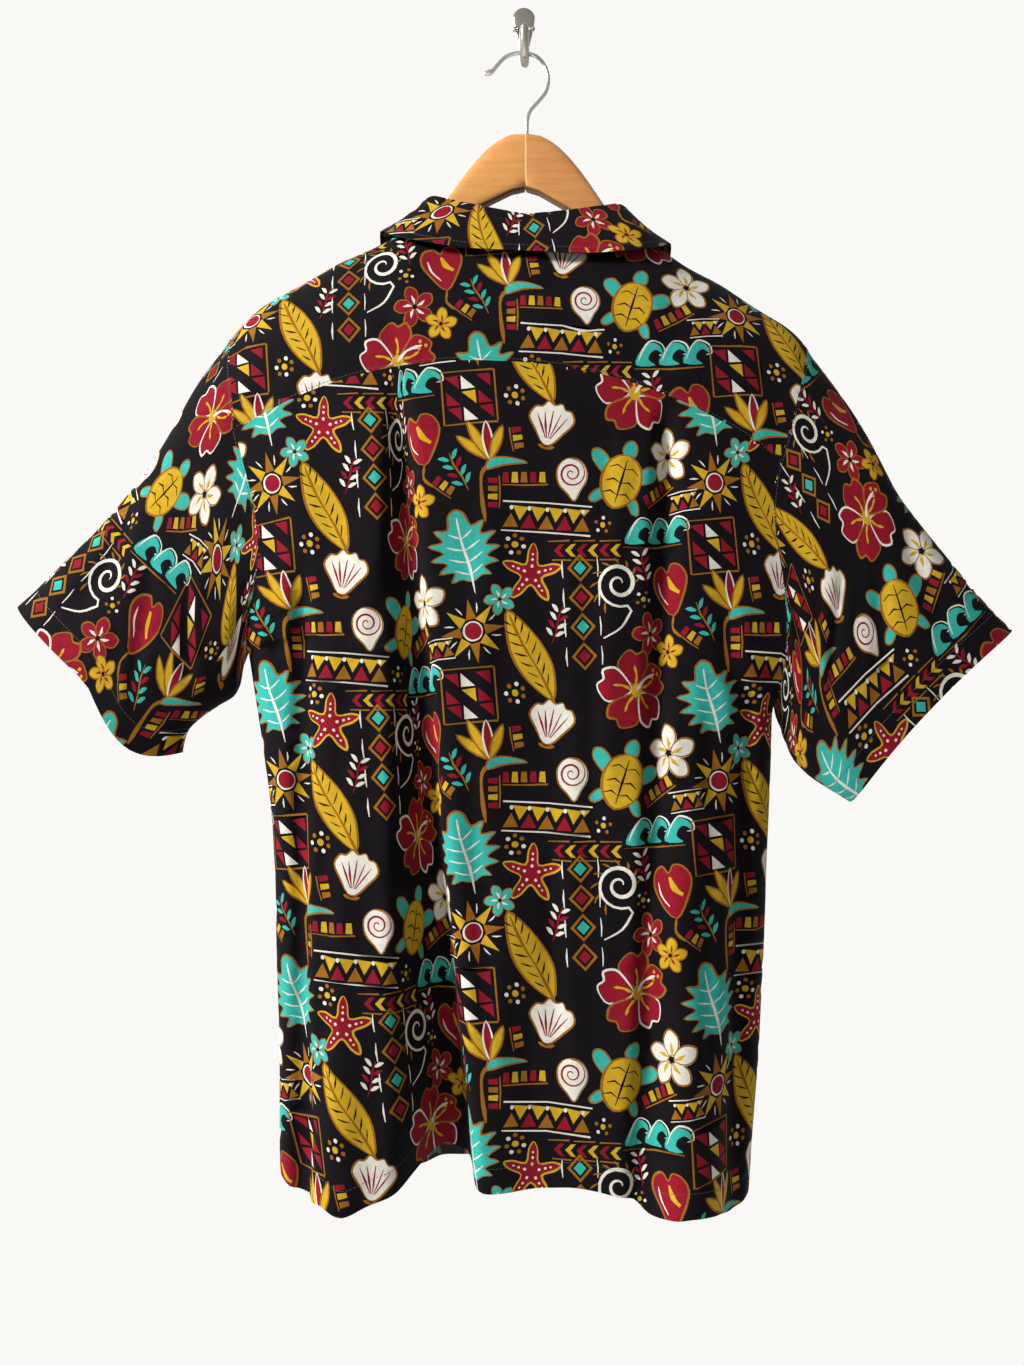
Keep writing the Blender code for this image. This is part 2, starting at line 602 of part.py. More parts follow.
def cloth(name, grid, normals, ring, flip, finish, home):
    """A closed wall from the grid of its outer side, one cloth thickness inwards."""
    rows, columns = grid.shape[:2]
    inner = pull_in(grid - normals * CLOTH, ring)
    outer = pull_in(grid, ring)
    count = rows * columns
    faces = split(grid_faces(rows, columns, ring), outer.reshape(-1, 3))
    walls = [f[::-1] if flip else f for f in faces]
    walls += [tuple(count + k for k in (f if flip else f[::-1])) for f in faces]
    rims = [[j for j in range(columns)] + ([0] if ring else []),
            [(rows - 1) * columns + j for j in range(columns)][::-1]]
    if ring:
        rims[1] = [(rows - 1) * columns] + rims[1]
    else:
        rims.append([i * columns + columns - 1 for i in range(rows)])
        rims.append([i * columns for i in range(rows)][::-1])
    points = np.concatenate([outer.reshape(-1, 3), inner.reshape(-1, 3)])
    for rim in rims:
        quads = split([(b, a, count + a, count + b) for a, b in zip(rim, rim[1:])], points)
        walls += [q[::-1] if flip else q for q in quads]
    mesh = bpy.data.meshes.new(name)
    mesh.from_pydata(points.tolist(), [], walls)
    mesh.validate()
    return place(name, mesh, finish, home)


# ---------------------------------------------------------------- objects and materials
def material(name, colour, roughness, metallic=0.0):
    made = bpy.data.materials.new(name)
    made.use_nodes = True
    shader = made.node_tree.nodes["Principled BSDF"]
    shader.inputs["Base Color"].default_value = (*colour, 1)
    shader.inputs["Roughness"].default_value = roughness
    shader.inputs["Metallic"].default_value = metallic
    made.diffuse_color = (*colour, 1)
    return made


def place(name, data, finish, home):
    thing = bpy.data.objects.new(name, data)
    thing.data.materials.append(finish)
    home.objects.link(thing)
    if isinstance(data, bpy.types.Mesh):
        data.shade_smooth()
        data.set_sharp_from_angle(angle=math.radians(40))
    return thing


def tube(name, points, radius, radii, finish, home, resolution=2):
    """A round wire through the points, with a radius factor for each."""
    curve = bpy.data.curves.new(name, "CURVE")
    curve.dimensions = "3D"
    curve.bevel_depth = radius
    curve.bevel_resolution = resolution
    curve.use_fill_caps = True
    line = curve.splines.new("POLY")
    line.points.add(len(points) - 1)
    for spot, p, r in zip(line.points, points, radii):
        spot.co = (*p, 1)
        spot.radius = r
    return place(name, curve, finish, home)


def rounded(points, steps):
    """A smooth curve through a short list of points."""
    points = np.array(points, float)
    ends = np.concatenate([[2 * points[0] - points[1]], points, [2 * points[-1] - points[-2]]])
    out = []
    for a, b, c, d in zip(ends, ends[1:], ends[2:], ends[3:]):
        for t in np.arange(steps) / steps:
            out.append(0.5 * (2 * b + (c - a) * t + (2 * a - 5 * b + 4 * c - d) * t ** 2
                              + (3 * b - a - 3 * c + d) * t ** 3))
    return np.array([*out, points[-1]])


# ---------------------------------------------------------------- hanger and hooks
HANGER_STATIONS = 12  # sections of the wood on each side of its middle
HANGER_SIDES = 16  # points round each section

WIRE_RADIUS = 0.0017
# The wire hook from its tip over the prong, round and down to the wood.
WIRE = ((-0.0318, -0.0508), (-0.0268, -0.0490), (-0.0225, -0.0440), (-0.0160, -0.0375),
        (-0.0075, -0.0342), (0.0020, -0.0340), (0.0110, -0.0375), (0.0172, -0.0450),
        (0.0198, -0.0550), (0.0180, -0.0655), (0.0115, -0.0740), (0.0050, -0.0815),
        (0.0025, -0.0890), (0.0020, -0.1006))

PLATE_THICK = 0.003
PLATE_TOP = 0.0305
PLATE_LOW = -0.0150
PLATE_HALF = 0.0098
PRONG_X = 0.0
PRONG_RADIUS = 0.0042
# The prong from the plate, out under the wire and up to its tip: y, z and thickness.
PRONG = ((-0.0023, 0.0094, 0.90), (-0.0110, 0.0040, 0.90), (-0.0200, -0.0130, 0.92),
         (-0.0290, -0.0290, 0.98), (-0.0390, -0.0390, 0.98), (-0.0490, -0.0389, 0.96),
         (-0.0555, -0.0320, 0.92), (-0.0585, -0.0240, 0.95), (-0.0595, -0.0215, 0.75))
SCREWS = ((-0.0070, 0.0105), (0.0070, 0.0112))


def hanger_body(finish, home):
    """The wood: rounded sections from end to end, its ends swept back to the wall."""
    half = np.linspace(0, 1, HANGER_STATIONS + 1)
    outs = np.concatenate([-half[::-1], half[1:]]) * HANGER_END
    turn = np.linspace(0, 2 * np.pi, HANGER_SIDES, endpoint=False) + np.pi / HANGER_SIDES
    points = []
    for out in outs:
        top, bottom, thick = (read(HANGER, k, "out", abs(out)) for k in ("top", "bottom", "thick"))
        close = 0.72 if abs(out) > HANGER_END - 1e-6 else 1
        tall = (top - bottom) / 2 * close
        y = HANG_Y + SWEEP * (out / HANGER_END) ** 2
        for a in turn:
            across = math.copysign(abs(math.sin(a)) ** 0.7, math.sin(a)) * thick / 2 * close
            up = math.copysign(abs(math.cos(a)) ** 0.6, math.cos(a)) * tall
            points.append((MIDDLE_X + out, y + across, (top + bottom) / 2 - out * TILT + up))
    faces = [f[::-1] for f in grid_faces(len(outs), HANGER_SIDES, True)]
    faces.append(tuple(range(HANGER_SIDES)))
    last = (len(outs) - 1) * HANGER_SIDES
    faces.append(tuple(last + k for k in range(HANGER_SIDES))[::-1])
    mesh = bpy.data.meshes.new("hanger_body")
    mesh.from_pydata(points, [], faces)
    return place("hanger_body", mesh, finish, home)


def hanger_hook(finish, home):
    line = rounded([(x, HANG_Y, z) for x, z in WIRE], 3)
    radii = np.ones(len(line))
    radii[:3] = (1.25, 1.4, 1.2)
    return tube("hanger_hook", line, WIRE_RADIUS, radii, finish, home)


def wall_hook(finish, home):
    """A drop-shaped plate with a prong cast on it."""
    outline = bpy.data.curves.new("plate", "CURVE")
    outline.dimensions = "2D"
    outline.fill_mode = "BOTH"
    outline.extrude = PLATE_THICK / 2
    ring = outline.splines.new("POLY")
    count = 28
    ring.points.add(count - 1)
    middle = PLATE_TOP - PLATE_HALF
    for k in range(count):
        a = 2 * math.pi * k / count
        narrow = PLATE_HALF * (1 - 0.42 * smooth((-math.cos(a) + 0.2) / 1.2))
        z = middle + PLATE_HALF * math.cos(a)
        if math.cos(a) < 0:
            z = middle + (middle - PLATE_LOW) * math.cos(a)
        ring.points[k].co = (narrow * math.sin(a), z, 0, 1)
    ring.use_cyclic_u = True
    plate = place("plate_outline", outline, finish, home)
    plate.rotation_euler = (math.pi / 2, 0, 0)
    plate.location = (0, -PLATE_THICK / 2, 0)
    route = rounded([(PRONG_X, y, z) for y, z, _ in PRONG], 3)
    sizes = rounded([(s, 0, 0) for _, _, s in PRONG], 3)[:, 0]
    prong = tube("prong_line", route, PRONG_RADIUS, sizes, finish, home, 3)
    bpy.context.view_layer.update()
    plate, prong = solid("wall_hook", plate, home), solid("prong_cutter", prong, home)
    join = plate.modifiers.new("join", "BOOLEAN")
    join.operation = "UNION"
    join.object = prong
    prong.hide_render = True
    prong.display_type = "WIRE"
    return plate


def solid(name, curve_object, home):
    """The mesh of a curve, welded, in place of the curve."""
    mesh = bpy.data.meshes.new_from_object(
        curve_object.evaluated_get(bpy.context.evaluated_depsgraph_get()))
    shape = bmesh.new()
    shape.from_mesh(mesh)
    bmesh.ops.remove_doubles(shape, verts=shape.verts, dist=1e-6)
    shape.to_mesh(mesh)
    shape.free()
    made = bpy.data.objects.new(name, mesh)
    made.matrix_world = curve_object.matrix_world
    home.objects.link(made)
    bpy.data.objects.remove(curve_object)
    mesh.shade_smooth()
    mesh.set_sharp_from_angle(angle=math.radians(40))
    return made


def screw(number, x, z, finish, home):
    """A domed screw head on the plate."""
    profile = [(0.0, 0.0014), (0.0012, 0.0013), (0.0022, 0.0008), (0.0027, 0.0), (0.0, 0.0)]
    return turned(f"screw_{number}", profile, 16, (x, -PLATE_THICK - SEAM_GAP, z), finish, home)


def button(number, z, finish, home):
    """A sew-through button with a raised rim, lying on the left front."""
    r, t = BUTTON_RADIUS, BUTTON_THICK
    profile = [(0.0, 0.6 * t), (0.55 * r, 0.6 * t), (0.7 * r, 0.95 * t), (0.85 * r, t),
               (0.97 * r, 0.8 * t), (r, 0.5 * t), (0.75 * r, 0.0), (0.0, 0.0)]
    made = turned(f"button_{number}", profile, 20, (COLLAR_X, FRONT_Y[-1] + SEAM_GAP, z),
                  finish, home)
    made.rotation_euler[0] = -math.pi / 2
    return made


def turned(name, profile, sides, at, finish, home):
    """A profile of radius and height, turned about its axis, which points to the room."""
    shape = bmesh.new()
    rings = []
    for radius, height in profile[1:-1]:
        rings.append([shape.verts.new((radius * math.cos(2 * math.pi * k / sides),
                                       radius * math.sin(2 * math.pi * k / sides), height))
                      for k in range(sides)])
    for high, low in zip(rings, rings[1:]):
        for k in range(sides):
            n = (k + 1) % sides
            shape.faces.new((high[n], high[k], low[k], low[n]))
    shape.faces.new(rings[0])
    shape.faces.new(rings[-1][::-1])
    mesh = bpy.data.meshes.new(name)
    shape.to_mesh(mesh)
    shape.free()
    made = place(name, mesh, finish, home)
    made.rotation_euler = (math.pi / 2, 0, 0)
    made.location = Vector(at)
    return made


# ---------------------------------------------------------------- the whole
def main():
    for thing in list(bpy.data.objects):
        bpy.data.objects.remove(thing)
    home = bpy.data.collections.new("hawaiian_shirt")
    bpy.context.scene.collection.children.link(home)

    printed = material("printed_cloth", (0.030, 0.022, 0.030), 0.75)
    wood = material("beech", (0.55, 0.29, 0.11), 0.35)
    steel = material("steel", (0.62, 0.62, 0.63), 0.25, 1.0)
    nickel = material("nickel", (0.55, 0.52, 0.46), 0.28, 1.0)
    shell = material("button", (0.05, 0.04, 0.04), 0.3)

    back, yoke, fronts = body_panels()
    panels = {
        "back": (back, False, True),
        "yoke": (yoke, False, True),
        "front_left": (fronts[-1], False, False),
        "front_right": (fronts[1], False, True),
        "sleeve_left": (sleeve_rings(-1, back, yoke, fronts[-1]), True, False),
        "sleeve_right": (sleeve_rings(1, back, yoke, fronts[1]), True, True),
        "collar": (collar_grid(yoke, fronts), False, False),
        "lapel_left": (lapel_grid(-1), False, False),
        "lapel_right": (lapel_grid(1), False, True),
    }
    normals = shared_normals(panels)
    for name, (grid, ring, flip) in panels.items():
        cloth(name, grid, normals[name], ring, flip, printed, home)

    for k in range(BUTTON_COUNT):
        button(k + 1, BUTTON_TOP - k * BUTTON_STEP, shell, home)
    hanger_body(wood, home)
    hanger_hook(steel, home)
    wall_hook(nickel, home)
    for k, (x, z) in enumerate(SCREWS):
        screw(k + 1, x, z, nickel, home)


main()
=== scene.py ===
"""Looks of a hawaiian shirt on its wooden hanger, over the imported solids.

Metres, +Z up, the wall is Y = 0 and the room lies towards -Y. The cloth is worked out from the
same tables as the solids, on finer grids, with its small creases. The print is drawn as flat
outlines in the cloth's own plane, cut into the mesh, so each colour has clean edges.
"""

import math

import bmesh
import bpy
import numpy as np
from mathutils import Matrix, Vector
from mathutils.geometry import delaunay_2d_cdt


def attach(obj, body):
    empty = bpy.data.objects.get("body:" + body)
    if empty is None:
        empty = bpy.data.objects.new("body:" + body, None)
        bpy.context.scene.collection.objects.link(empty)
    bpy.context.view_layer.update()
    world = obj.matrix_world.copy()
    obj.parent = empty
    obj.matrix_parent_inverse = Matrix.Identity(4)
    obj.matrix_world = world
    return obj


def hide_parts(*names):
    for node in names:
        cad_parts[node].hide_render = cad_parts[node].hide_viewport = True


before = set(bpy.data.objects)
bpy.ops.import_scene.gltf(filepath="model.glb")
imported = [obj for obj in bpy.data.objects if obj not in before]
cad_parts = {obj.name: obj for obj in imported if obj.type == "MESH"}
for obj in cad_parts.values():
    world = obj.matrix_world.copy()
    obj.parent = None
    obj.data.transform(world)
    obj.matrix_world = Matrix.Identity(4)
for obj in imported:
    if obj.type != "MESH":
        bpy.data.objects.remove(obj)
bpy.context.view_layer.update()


def table(names, *rows):
    """Named columns, each an array with one number a row, in tenths of a millimetre unless a
    star marks another measure."""
    return {name.rstrip("*"): column / (1 if name[-1] == "*" else 10000)
            for name, column in zip(names.split(), np.array(rows, float).T)}


# ---------------------------------------------------------------- driving sizes
CLOTH = 0.002  # thickness of each wall of cloth
SEAM_GAP = 0.0003  # between two pieces that are sewn together
TILT = math.tan(math.radians(2.4))  # the hanger leans down to the right
MIDDLE_X = 0.001  # middle of the hanger
COLLAR_X = 0.001  # middle of the neck
HANG_Y = -0.044  # plane of the wire hook
SWEEP = 0.007  # how far the hanger's ends lie behind that plane

# The hanger's outline at a distance from its middle. The last row is cloth past its end.
HANGER = table(
    "out top bottom thick",
    (0, -1008, -1447, 140), (120, -1025, -1508, 140), (270, -1110, -1588, 140),
    (440, -1285, -1680, 135), (625, -1540, -1800, 125), (750, -1722, -1900, 120),
    (880, -1863, -2015, 100), (1100, -2013, -2170, 115), (1600, -2271, -2430, 120),
    (2000, -2503, -2655, 100), (2275, -2688, -2780, 80), (2420, -2860, -2920, 80))
HANGER_END = 0.2275
RIDGE_LIFT = 0.0086  # the cloth's outer side over the hanger's top edge
NECK_HALF = 0.0905  # from the middle of the neck to its side
NECK_DEEP = 0.055  # from the back of the neck's edge to its front, over the shoulder
NECK_SQUARE = 0.42  # 1 is a round neck, less has squarer corners
NECK_ANGLE = 37  # how far round the shoulder the back of the neck lies

# Armholes: top and pit, the depth of the pit, and how far the seam bows towards the middle.
ARMHOLES = {
    -1: dict(top_x=-0.242, pit=(-0.2248, -0.056, -0.529), seam_z=-0.354,
             bow=0.0200, bow_at=110, bow_wide=36),
    1: dict(top_x=0.234, pit=(0.2035, -0.056, -0.573), seam_z=-0.378,
            bow=0.0230, bow_at=82, bow_wide=30),
}
ARMHOLE_BACK = -0.037  # how far the back and front of an armhole stand off its middle
ARMHOLE_FRONT = 0.0175
FRONT_BOW = dict(bow=0.012, bow_at=90, bow_wide=40)  # of both armholes in front
BOW_POWER = 2.7  # 2 makes a section of the body an ellipse, more makes it squarer
BACK_REACH, FRONT_REACH = 48, 50  # how far round a section turns at the top of an armhole

# Side seams below the armpits, by height.
SIDES = table(
    "z left right y",
    (-9640, -1980, 1820, -570), (-8700, -1985, 1885, -570), (-7800, -2013, 1935, -570),
    (-7000, -2035, 1965, -570), (-6200, -2105, 1998, -570), (-5290, -2248, 2035, -560))
HEM_Z = -0.957
HEM_SIDE_Z = {-1: -0.951, 1: -0.964}  # the hem at the side seams, where the shirt hangs askew

# Depth of the back's middle, by height, and the height of the yoke seam's middle.
BACK_DEPTH = table(
    "z y",
    (-9600, -980), (-7500, -1000), (-5500, -990), (-4000, -950), (-3020, -880))
YOKE_MIDDLE_Z = -0.302
YOKE_SIDE_Z = -0.366  # the height of the seam's ends, between the two sides
LIFT_BELOW = -0.750  # from here down the rows of the back run level
LIFT_POWER = 2.2  # 2 makes the rise to their middle a parabola, more makes it flatter there
YOKE_FRONT_STEP = 0.0055  # the yoke's front edge lies this far inside the front
YOKE_FRONT_DROP = 0.035  # and falls this far below the shoulder, times 1 - cosine
FRONT_Y = {-1: -0.0205, 1: -0.0231}  # the left front buttons over the right one
OVERLAP = 0.015
NECKLINE_TURN = 0.004  # the front bends back beside the neck
NECKLINE_FROM, NECKLINE_OVER = 0.010, 0.060  # from so far off the middle, over this width

# Folds of the back: a trough sinks from its start to the hem, a ridge has a negative depth.
# "lean" moves its bottom sideways, so that one edge hangs over; "square" makes it steeper.
BACK_FOLDS = table(
    "start_x start_z end_x start_wide end_wide start_deep end_deep lean* square*",
    (-1770, -4500, -1770, 75, 85, 60, 170, 0.15, 3),
    (-1220, -5200, -1240, 190, 190, 30, 100, 0, 2),
    (-1020, -3060, -680, 85, 230, 80, 500, 0.24, 3.4), (120, -4000, 120, 260, 240, 30, 70, 0, 2),
    (1130, -3150, 940, 80, 140, 80, 130, -0.12, 2.6),
    (1760, -5400, 1620, 80, 100, 70, 130, 0.12, 2.6),
    (-1150, -5600, -1380, 440, 420, -30, -260, 0, 2),
    (1100, -5600, 1300, 400, 400, -30, -300, 0, 2))
# How far the hem of the back rises, by place across it, and how far up that reaches.
HEM_RISE = table(
    "x up",
    (-2000, 0), (-1760, -120), (-1600, -20), (-1410, -80), (-1200, -20), (-1000, 60), (-880, 115),
    (-680, 140), (-490, 70), (-300, 30), (0, 45), (190, 60), (410, 95), (660, 70), (830, 30),
    (970, -65), (1120, 10), (1290, 60), (1490, 20), (1630, -110), (1740, -90), (1900, 0))
HEM_REACH = 0.15
HEM_LIFT = 0.2  # a fold draws the hem up by this share of its depth
FRONT_FOLDS = table(
    "start_x start_z end_x start_wide end_wide start_deep end_deep lean* square*",
    (-1500, -4000, -1580, 110, 120, 40, 220, 0.1, 2.6),
    (-700, -4600, -880, 120, 130, 30, 200, -0.1, 2.6),
    (800, -4300, 660, 120, 130, 30, 210, 0.12, 2.6),
    (1400, -4200, 1360, 110, 120, 40, 230, -0.1, 2.6))
FOLD_START = 0.09  # share of a fold's length over which it sets in
FOLD_DEEPENS = 1.2  # 1 is evenly on its way down, more is slower at first
HELD_EDGE = 12  # the higher, the closer to its side seams a panel keeps its folds

# Sleeves: upper and under edge as seen from behind, middle depth and half depth.
SLEEVES = {
    -1: table(
        "t* top_x top_z under_x under_z y half",
        (0, -2420, -2680, -2248, -5290, -455, 270), (0.14, -2650, -3030, -2300, -5440, -480, 280),
        (0.33, -2905, -3515, -2343, -5630, -520, 285),
        (0.5, -3195, -3955, -2480, -5735, -550, 280),
        (0.66, -3480, -4310, -2640, -5835, -570, 270),
        (0.82, -3815, -4640, -2750, -5940, -585, 255), (1, -4110, -4930, -2785, -6119, -590, 240)),
    1: table(
        "t* top_x top_z under_x under_z y half",
        (0, 2340, -2790, 2035, -5730, -455, 270), (0.14, 2560, -3130, 2085, -5885, -480, 280),
        (0.33, 2835, -3590, 2130, -6030, -520, 285), (0.5, 3090, -4060, 2200, -6180, -550, 280),
        (0.66, 3350, -4420, 2310, -6300, -570, 270), (0.82, 3660, -4800, 2450, -6405, -585, 255),
        (1, 3955, -5120, 2646, -6519, -590, 240)),
}
SLEEVE_SQUARE = 0.85  # 1 makes a section of the sleeve an ellipse, less makes it squarer
CUFF_BULGE = {-1: (0.004, 0.042), 1: (-0.010, -0.002)}  # at its middle, and more below it

# Collar, from the middle of the back (0) round the side of the neck (0.75) to the lapel (1):
# the middle of its roll and the edge of its fall.
COLLAR = table(
    "q* roll_x roll_y roll_z edge_x edge_y edge_z",
    (0, 0, -640, -1800, 0, -800, -2130), (0.25, 340, -625, -1745, 450, -792, -2125),
    (0.5, 665, -570, -1665, 860, -765, -2070), (0.58, 755, -548, -1645, 970, -728, -2040),
    (0.66, 820, -480, -1655, 1090, -655, -1990), (0.75, 825, -345, -1740, 1190, -475, -1900),
    (0.835, 740, -250, -1950, 1210, -235, -2045), (0.915, 610, -215, -2180, 1150, -165, -2300),
    (1, 480, -195, -2460, 1000, -155, -2520))
COLLAR_ROLL = 0.0022  # radius inside the collar's fold
COLLAR_TILT = 0.043  # it leans down to the right more than the hanger
COLLAR_BELLY = 0.002  # how far its fall arches outwards
COLLAR_STAND = 0.55  # where the row below its roll lies, from the neck seam up
COLLAR_FLAT = 0.80  # from here to its ends the collar turns to lie on the fronts
COLLAR_LIES = 0.90  # and from here on its roll's crown faces straight away from them

# Inner edge of each front: the neckline down to the break, then the buttoned edge.
NECKLINE = table(
    "row* out z",
    (0, 905, -1900), (1, 770, -2060), (2, 640, -2270), (3, 505, -2500), (4, 345, -2770),
    (5, 160, -3050), (6, -150, -3350), (7, -150, -3820), (8, -150, -4320), (9, -150, -4850),
    (10, -150, -5400))
GORGE_ROW = 3  # the collar ends here and the lapel starts
LAPELS = {-1: (3, 4, 5, 6), 1: (3, 4, 5)}  # rows of the front that carry a lapel
LAPEL_WIDTHS = (0.050, 0.040, 0.024, 0.006)
LAPEL_START = 0.002  # over this length it leaves its root straight
LAPEL_ROOT = ((0.0000, 0.0000), (0.0007, 0.0008), (0.0000, 0.0016))  # in front of it, above it
LAPEL_SPREAD = ((0.35, 0.0026), (0.70, 0.0030), (1.00, 0.0026))  # share of its width, height

WIRE_RADIUS = 0.0017
# The wire hook from its tip over the prong, round and down to the wood.
WIRE = ((-0.0318, -0.0508), (-0.0268, -0.0490), (-0.0225, -0.0440), (-0.0160, -0.0375),
        (-0.0075, -0.0342), (0.0020, -0.0340), (0.0110, -0.0375), (0.0172, -0.0450),
        (0.0198, -0.0550), (0.0180, -0.0655), (0.0115, -0.0740), (0.0050, -0.0815),
        (0.0025, -0.0890), (0.0020, -0.1006))
WIRE_SEAT = (0.0018, HANG_Y, -0.106)  # its end, hidden in the wood
BALL_AT, BALL_LONG, BALL_SWELL = 4, 4.5, 0.45  # the ball of its tip, in steps along the wire

PLATE_THICK = 0.003
PLATE_TOP = 0.0305
PLATE_LOW = -0.0150
PLATE_HALF = 0.0098
PRONG_X = 0.0
PRONG_RADIUS = 0.0042
# The prong from the plate, out under the wire and up to its tip: y, z and thickness.
PRONG = ((-0.0023, 0.0094, 0.90), (-0.0110, 0.0040, 0.90), (-0.0200, -0.0130, 0.92),
         (-0.0290, -0.0290, 0.98), (-0.0390, -0.0390, 0.98), (-0.0490, -0.0389, 0.96),
         (-0.0555, -0.0320, 0.92), (-0.0585, -0.0240, 0.95), (-0.0595, -0.0215, 0.75))
SCREWS = ((-0.0070, 0.0105, 0.6), (0.0070, 0.0112, 2.5))  # x, z and the slot's turn

# ---------------------------------------------------------------- grid sizes
COLUMNS = 48  # the solids' threads across the back and the yoke
SHOULDER = 15  # of which this many lie over each shoulder
YOKE_ANGLES = (-55, -27, 0, 15, 32, 50, 70, 90)
BACK_UPPER = 7
BODY_ROWS = 12
FRONT_ANGLES = (38, 54, 70, 86, 102, 118, 134, 150, 165, 180)
SLEEVE_ROWS = 8
FINE = 600
ACROSS = 3  # fine columns for each of the solids'
DOWN = 4  # fine rows for each of the solids'


# ---------------------------------------------------------------- curves
def lerp(a, b, t):
    """From a, where t is 0, to b, where it is 1."""
    return a + (b - a) * t


def unit(rows):
    """Vectors of length 1."""
    return rows / np.linalg.norm(rows, axis=1)[:, None]


def circle(count):
    """Even angles once round."""
    return np.linspace(0, 2 * np.pi, count, endpoint=False)


def squared(wave, power):
    """A wave from -1 to 1, squarer the smaller the power is below 1."""
    return np.sign(wave) * abs(wave) ** power


def distances(points):
    """How far along a line of many points each of them lies."""
    steps = np.linalg.norm(np.diff(points, axis=0), axis=1)
    return np.concatenate([[0], np.cumsum(steps)])


def at_run(goal, run, points):
    """The points of a line at given distances along it."""
    return np.stack([np.interp(goal, run, points[:, k]) for k in range(3)], axis=-1)


def smooth(t):
    """From 0 to 1, level at both ends."""
    t = np.clip(t, 0, 1)
    return t * t * (3 - 2 * t)


def read(rows, name, by, at):
    """A column of a table at any place between its rows, as a smooth curve without overshoot."""
    x, y = rows[by], rows[name]
    at = np.clip(at, x[0], x[-1])
    slope = np.diff(y) / np.diff(x)
    inner = np.where(slope[:-1] * slope[1:] > 0, (slope[:-1] + slope[1:]) / 2, 0)
    limit = 3 * np.minimum(abs(slope[:-1]), abs(slope[1:]))
    ends = np.concatenate([slope[:1], np.clip(inner, -limit, limit), slope[-1:]])
    i = np.clip(np.searchsorted(x, at, side="right") - 1, 0, len(x) - 2)
    h = x[i + 1] - x[i]
    t = (at - x[i]) / h
    bend = ends[i] * h * t * (1 - t) ** 2 - ends[i + 1] * h * t * t * (1 - t)
    return y[i] * (1 + 2 * t) * (1 - t) ** 2 + y[i + 1] * t * t * (3 - 2 * t) + bend


def spaced(points, count):
    """count + 1 points at even steps along a line of many points."""
    run = distances(points)
    return at_run(np.linspace(0, run[-1], count + 1), run, points)


def along(points, distance):
    """The point at a distance from the start of a line of many points."""
    return at_run(distance, distances(points), points)


def curve(points, closed=True, steps=3):
    """A smooth line through a short list of points, or a surface through a list of lines."""
    p = np.array(points, float)
    p = np.concatenate([p[-1:], p, p[:2]] if closed else
                       [2 * p[:1] - p[1:2], p, 2 * p[-1:] - p[-2:-1]])
    t = (np.arange(steps) / steps).reshape(-1, *[1] * (p.ndim - 1))
    out = np.concatenate([
        0.5 * (2 * b + (c - a) * t + (2 * a - 5 * b + 4 * c - d) * t ** 2
               + (3 * b - a - 3 * c + d) * t ** 3)
        for a, b, c, d in zip(p, p[1:], p[2:], p[3:])])
    return out if closed else np.concatenate([out, p[-2:-1]])


def ridge(x):
    """The top line of the cloth over the hanger, carried on level across the neck."""
    out = np.maximum(abs(x - MIDDLE_X), NECK_HALF)
    z = read(HANGER, "top", "out", out) - (x - MIDDLE_X) * TILT + RIDGE_LIFT
    y = HANG_Y + SWEEP * (out / HANGER_END) ** 2
    return np.stack([x + 0 * z, y, z], axis=-1)


def armhole(side, degrees, front):
    """A point of the armhole seam: 0 at the shoulder, 180 at the pit."""
    hole = ARMHOLES[side]
    top, pit = ridge(hole["top_x"]), np.array(hole["pit"])
    a = math.radians(degrees)
    down = (1 - math.cos(a)) / 2
    point = lerp(top, pit, down)
    bow, at, wide = ((FRONT_BOW if front else hole)[key] for key in ("bow", "bow_at", "bow_wide"))
    point[0] -= side * bow * math.exp(-(((degrees - at) / wide) ** 2)) * math.sin(a) ** 0.5
    point[1] += (ARMHOLE_FRONT if front else ARMHOLE_BACK) * math.sin(a) ** 0.8
    return point


def side_seam(side, share):
    """A point of the side seam: 0 at the armpit, 1 at the hem."""
    z = lerp(ARMHOLES[side]["pit"][2], HEM_SIDE_Z[side], share)
    x = read(SIDES, "left" if side < 0 else "right", "z", z)
    return np.array([x, read(SIDES, "y", "z", z), z])


def fold_depth(folds, x, z):
    """How far the folds push a surface in at x, z, and how far sideways."""
    depth, sideways = np.zeros_like(x), np.zeros_like(x)
    for row in zip(*folds.values()):
        f = dict(zip(folds, row))
        share = np.clip((f["start_z"] - z) / (f["start_z"] - HEM_Z), 0, 1)
        middle = lerp(f["start_x"], f["end_x"], share)
        wide = lerp(f["start_wide"], f["end_wide"], share)
        deep = lerp(f["start_deep"], f["end_deep"], share ** FOLD_DEEPENS)
        deep = deep * smooth(share / FOLD_START)
        push = deep * np.exp(-(abs((x - middle) / wide) ** f["square"]))
        depth += push
        sideways += f["lean"] * push
    return depth, sideways


def bow_section(left, right, middle_y, reach, lift):
    """A section from one edge point to the other that bows out to middle_y. reach is 90
    where its ends turn square into the other side of the shirt, and less beside an armhole."""
    angle = np.radians(np.linspace(-reach, reach, FINE))
    p, end = 2 / BOW_POWER, math.radians(reach)
    across = np.sign(angle) * (abs(np.sin(angle)) / math.sin(end)) ** p
    floor = max(math.cos(end), 0) ** p
    bow = (np.clip(np.cos(angle), 0, 1) ** p - floor) / (1 - floor)
    share = (across + 1) / 2
    points = left + (right - left) * share[:, None]
    points[:, 1] += (middle_y - points[:, 1]) * bow
    points[:, 2] += lift * (1 - abs(across) ** LIFT_POWER)
    return points, 1 - abs(across) ** HELD_EDGE


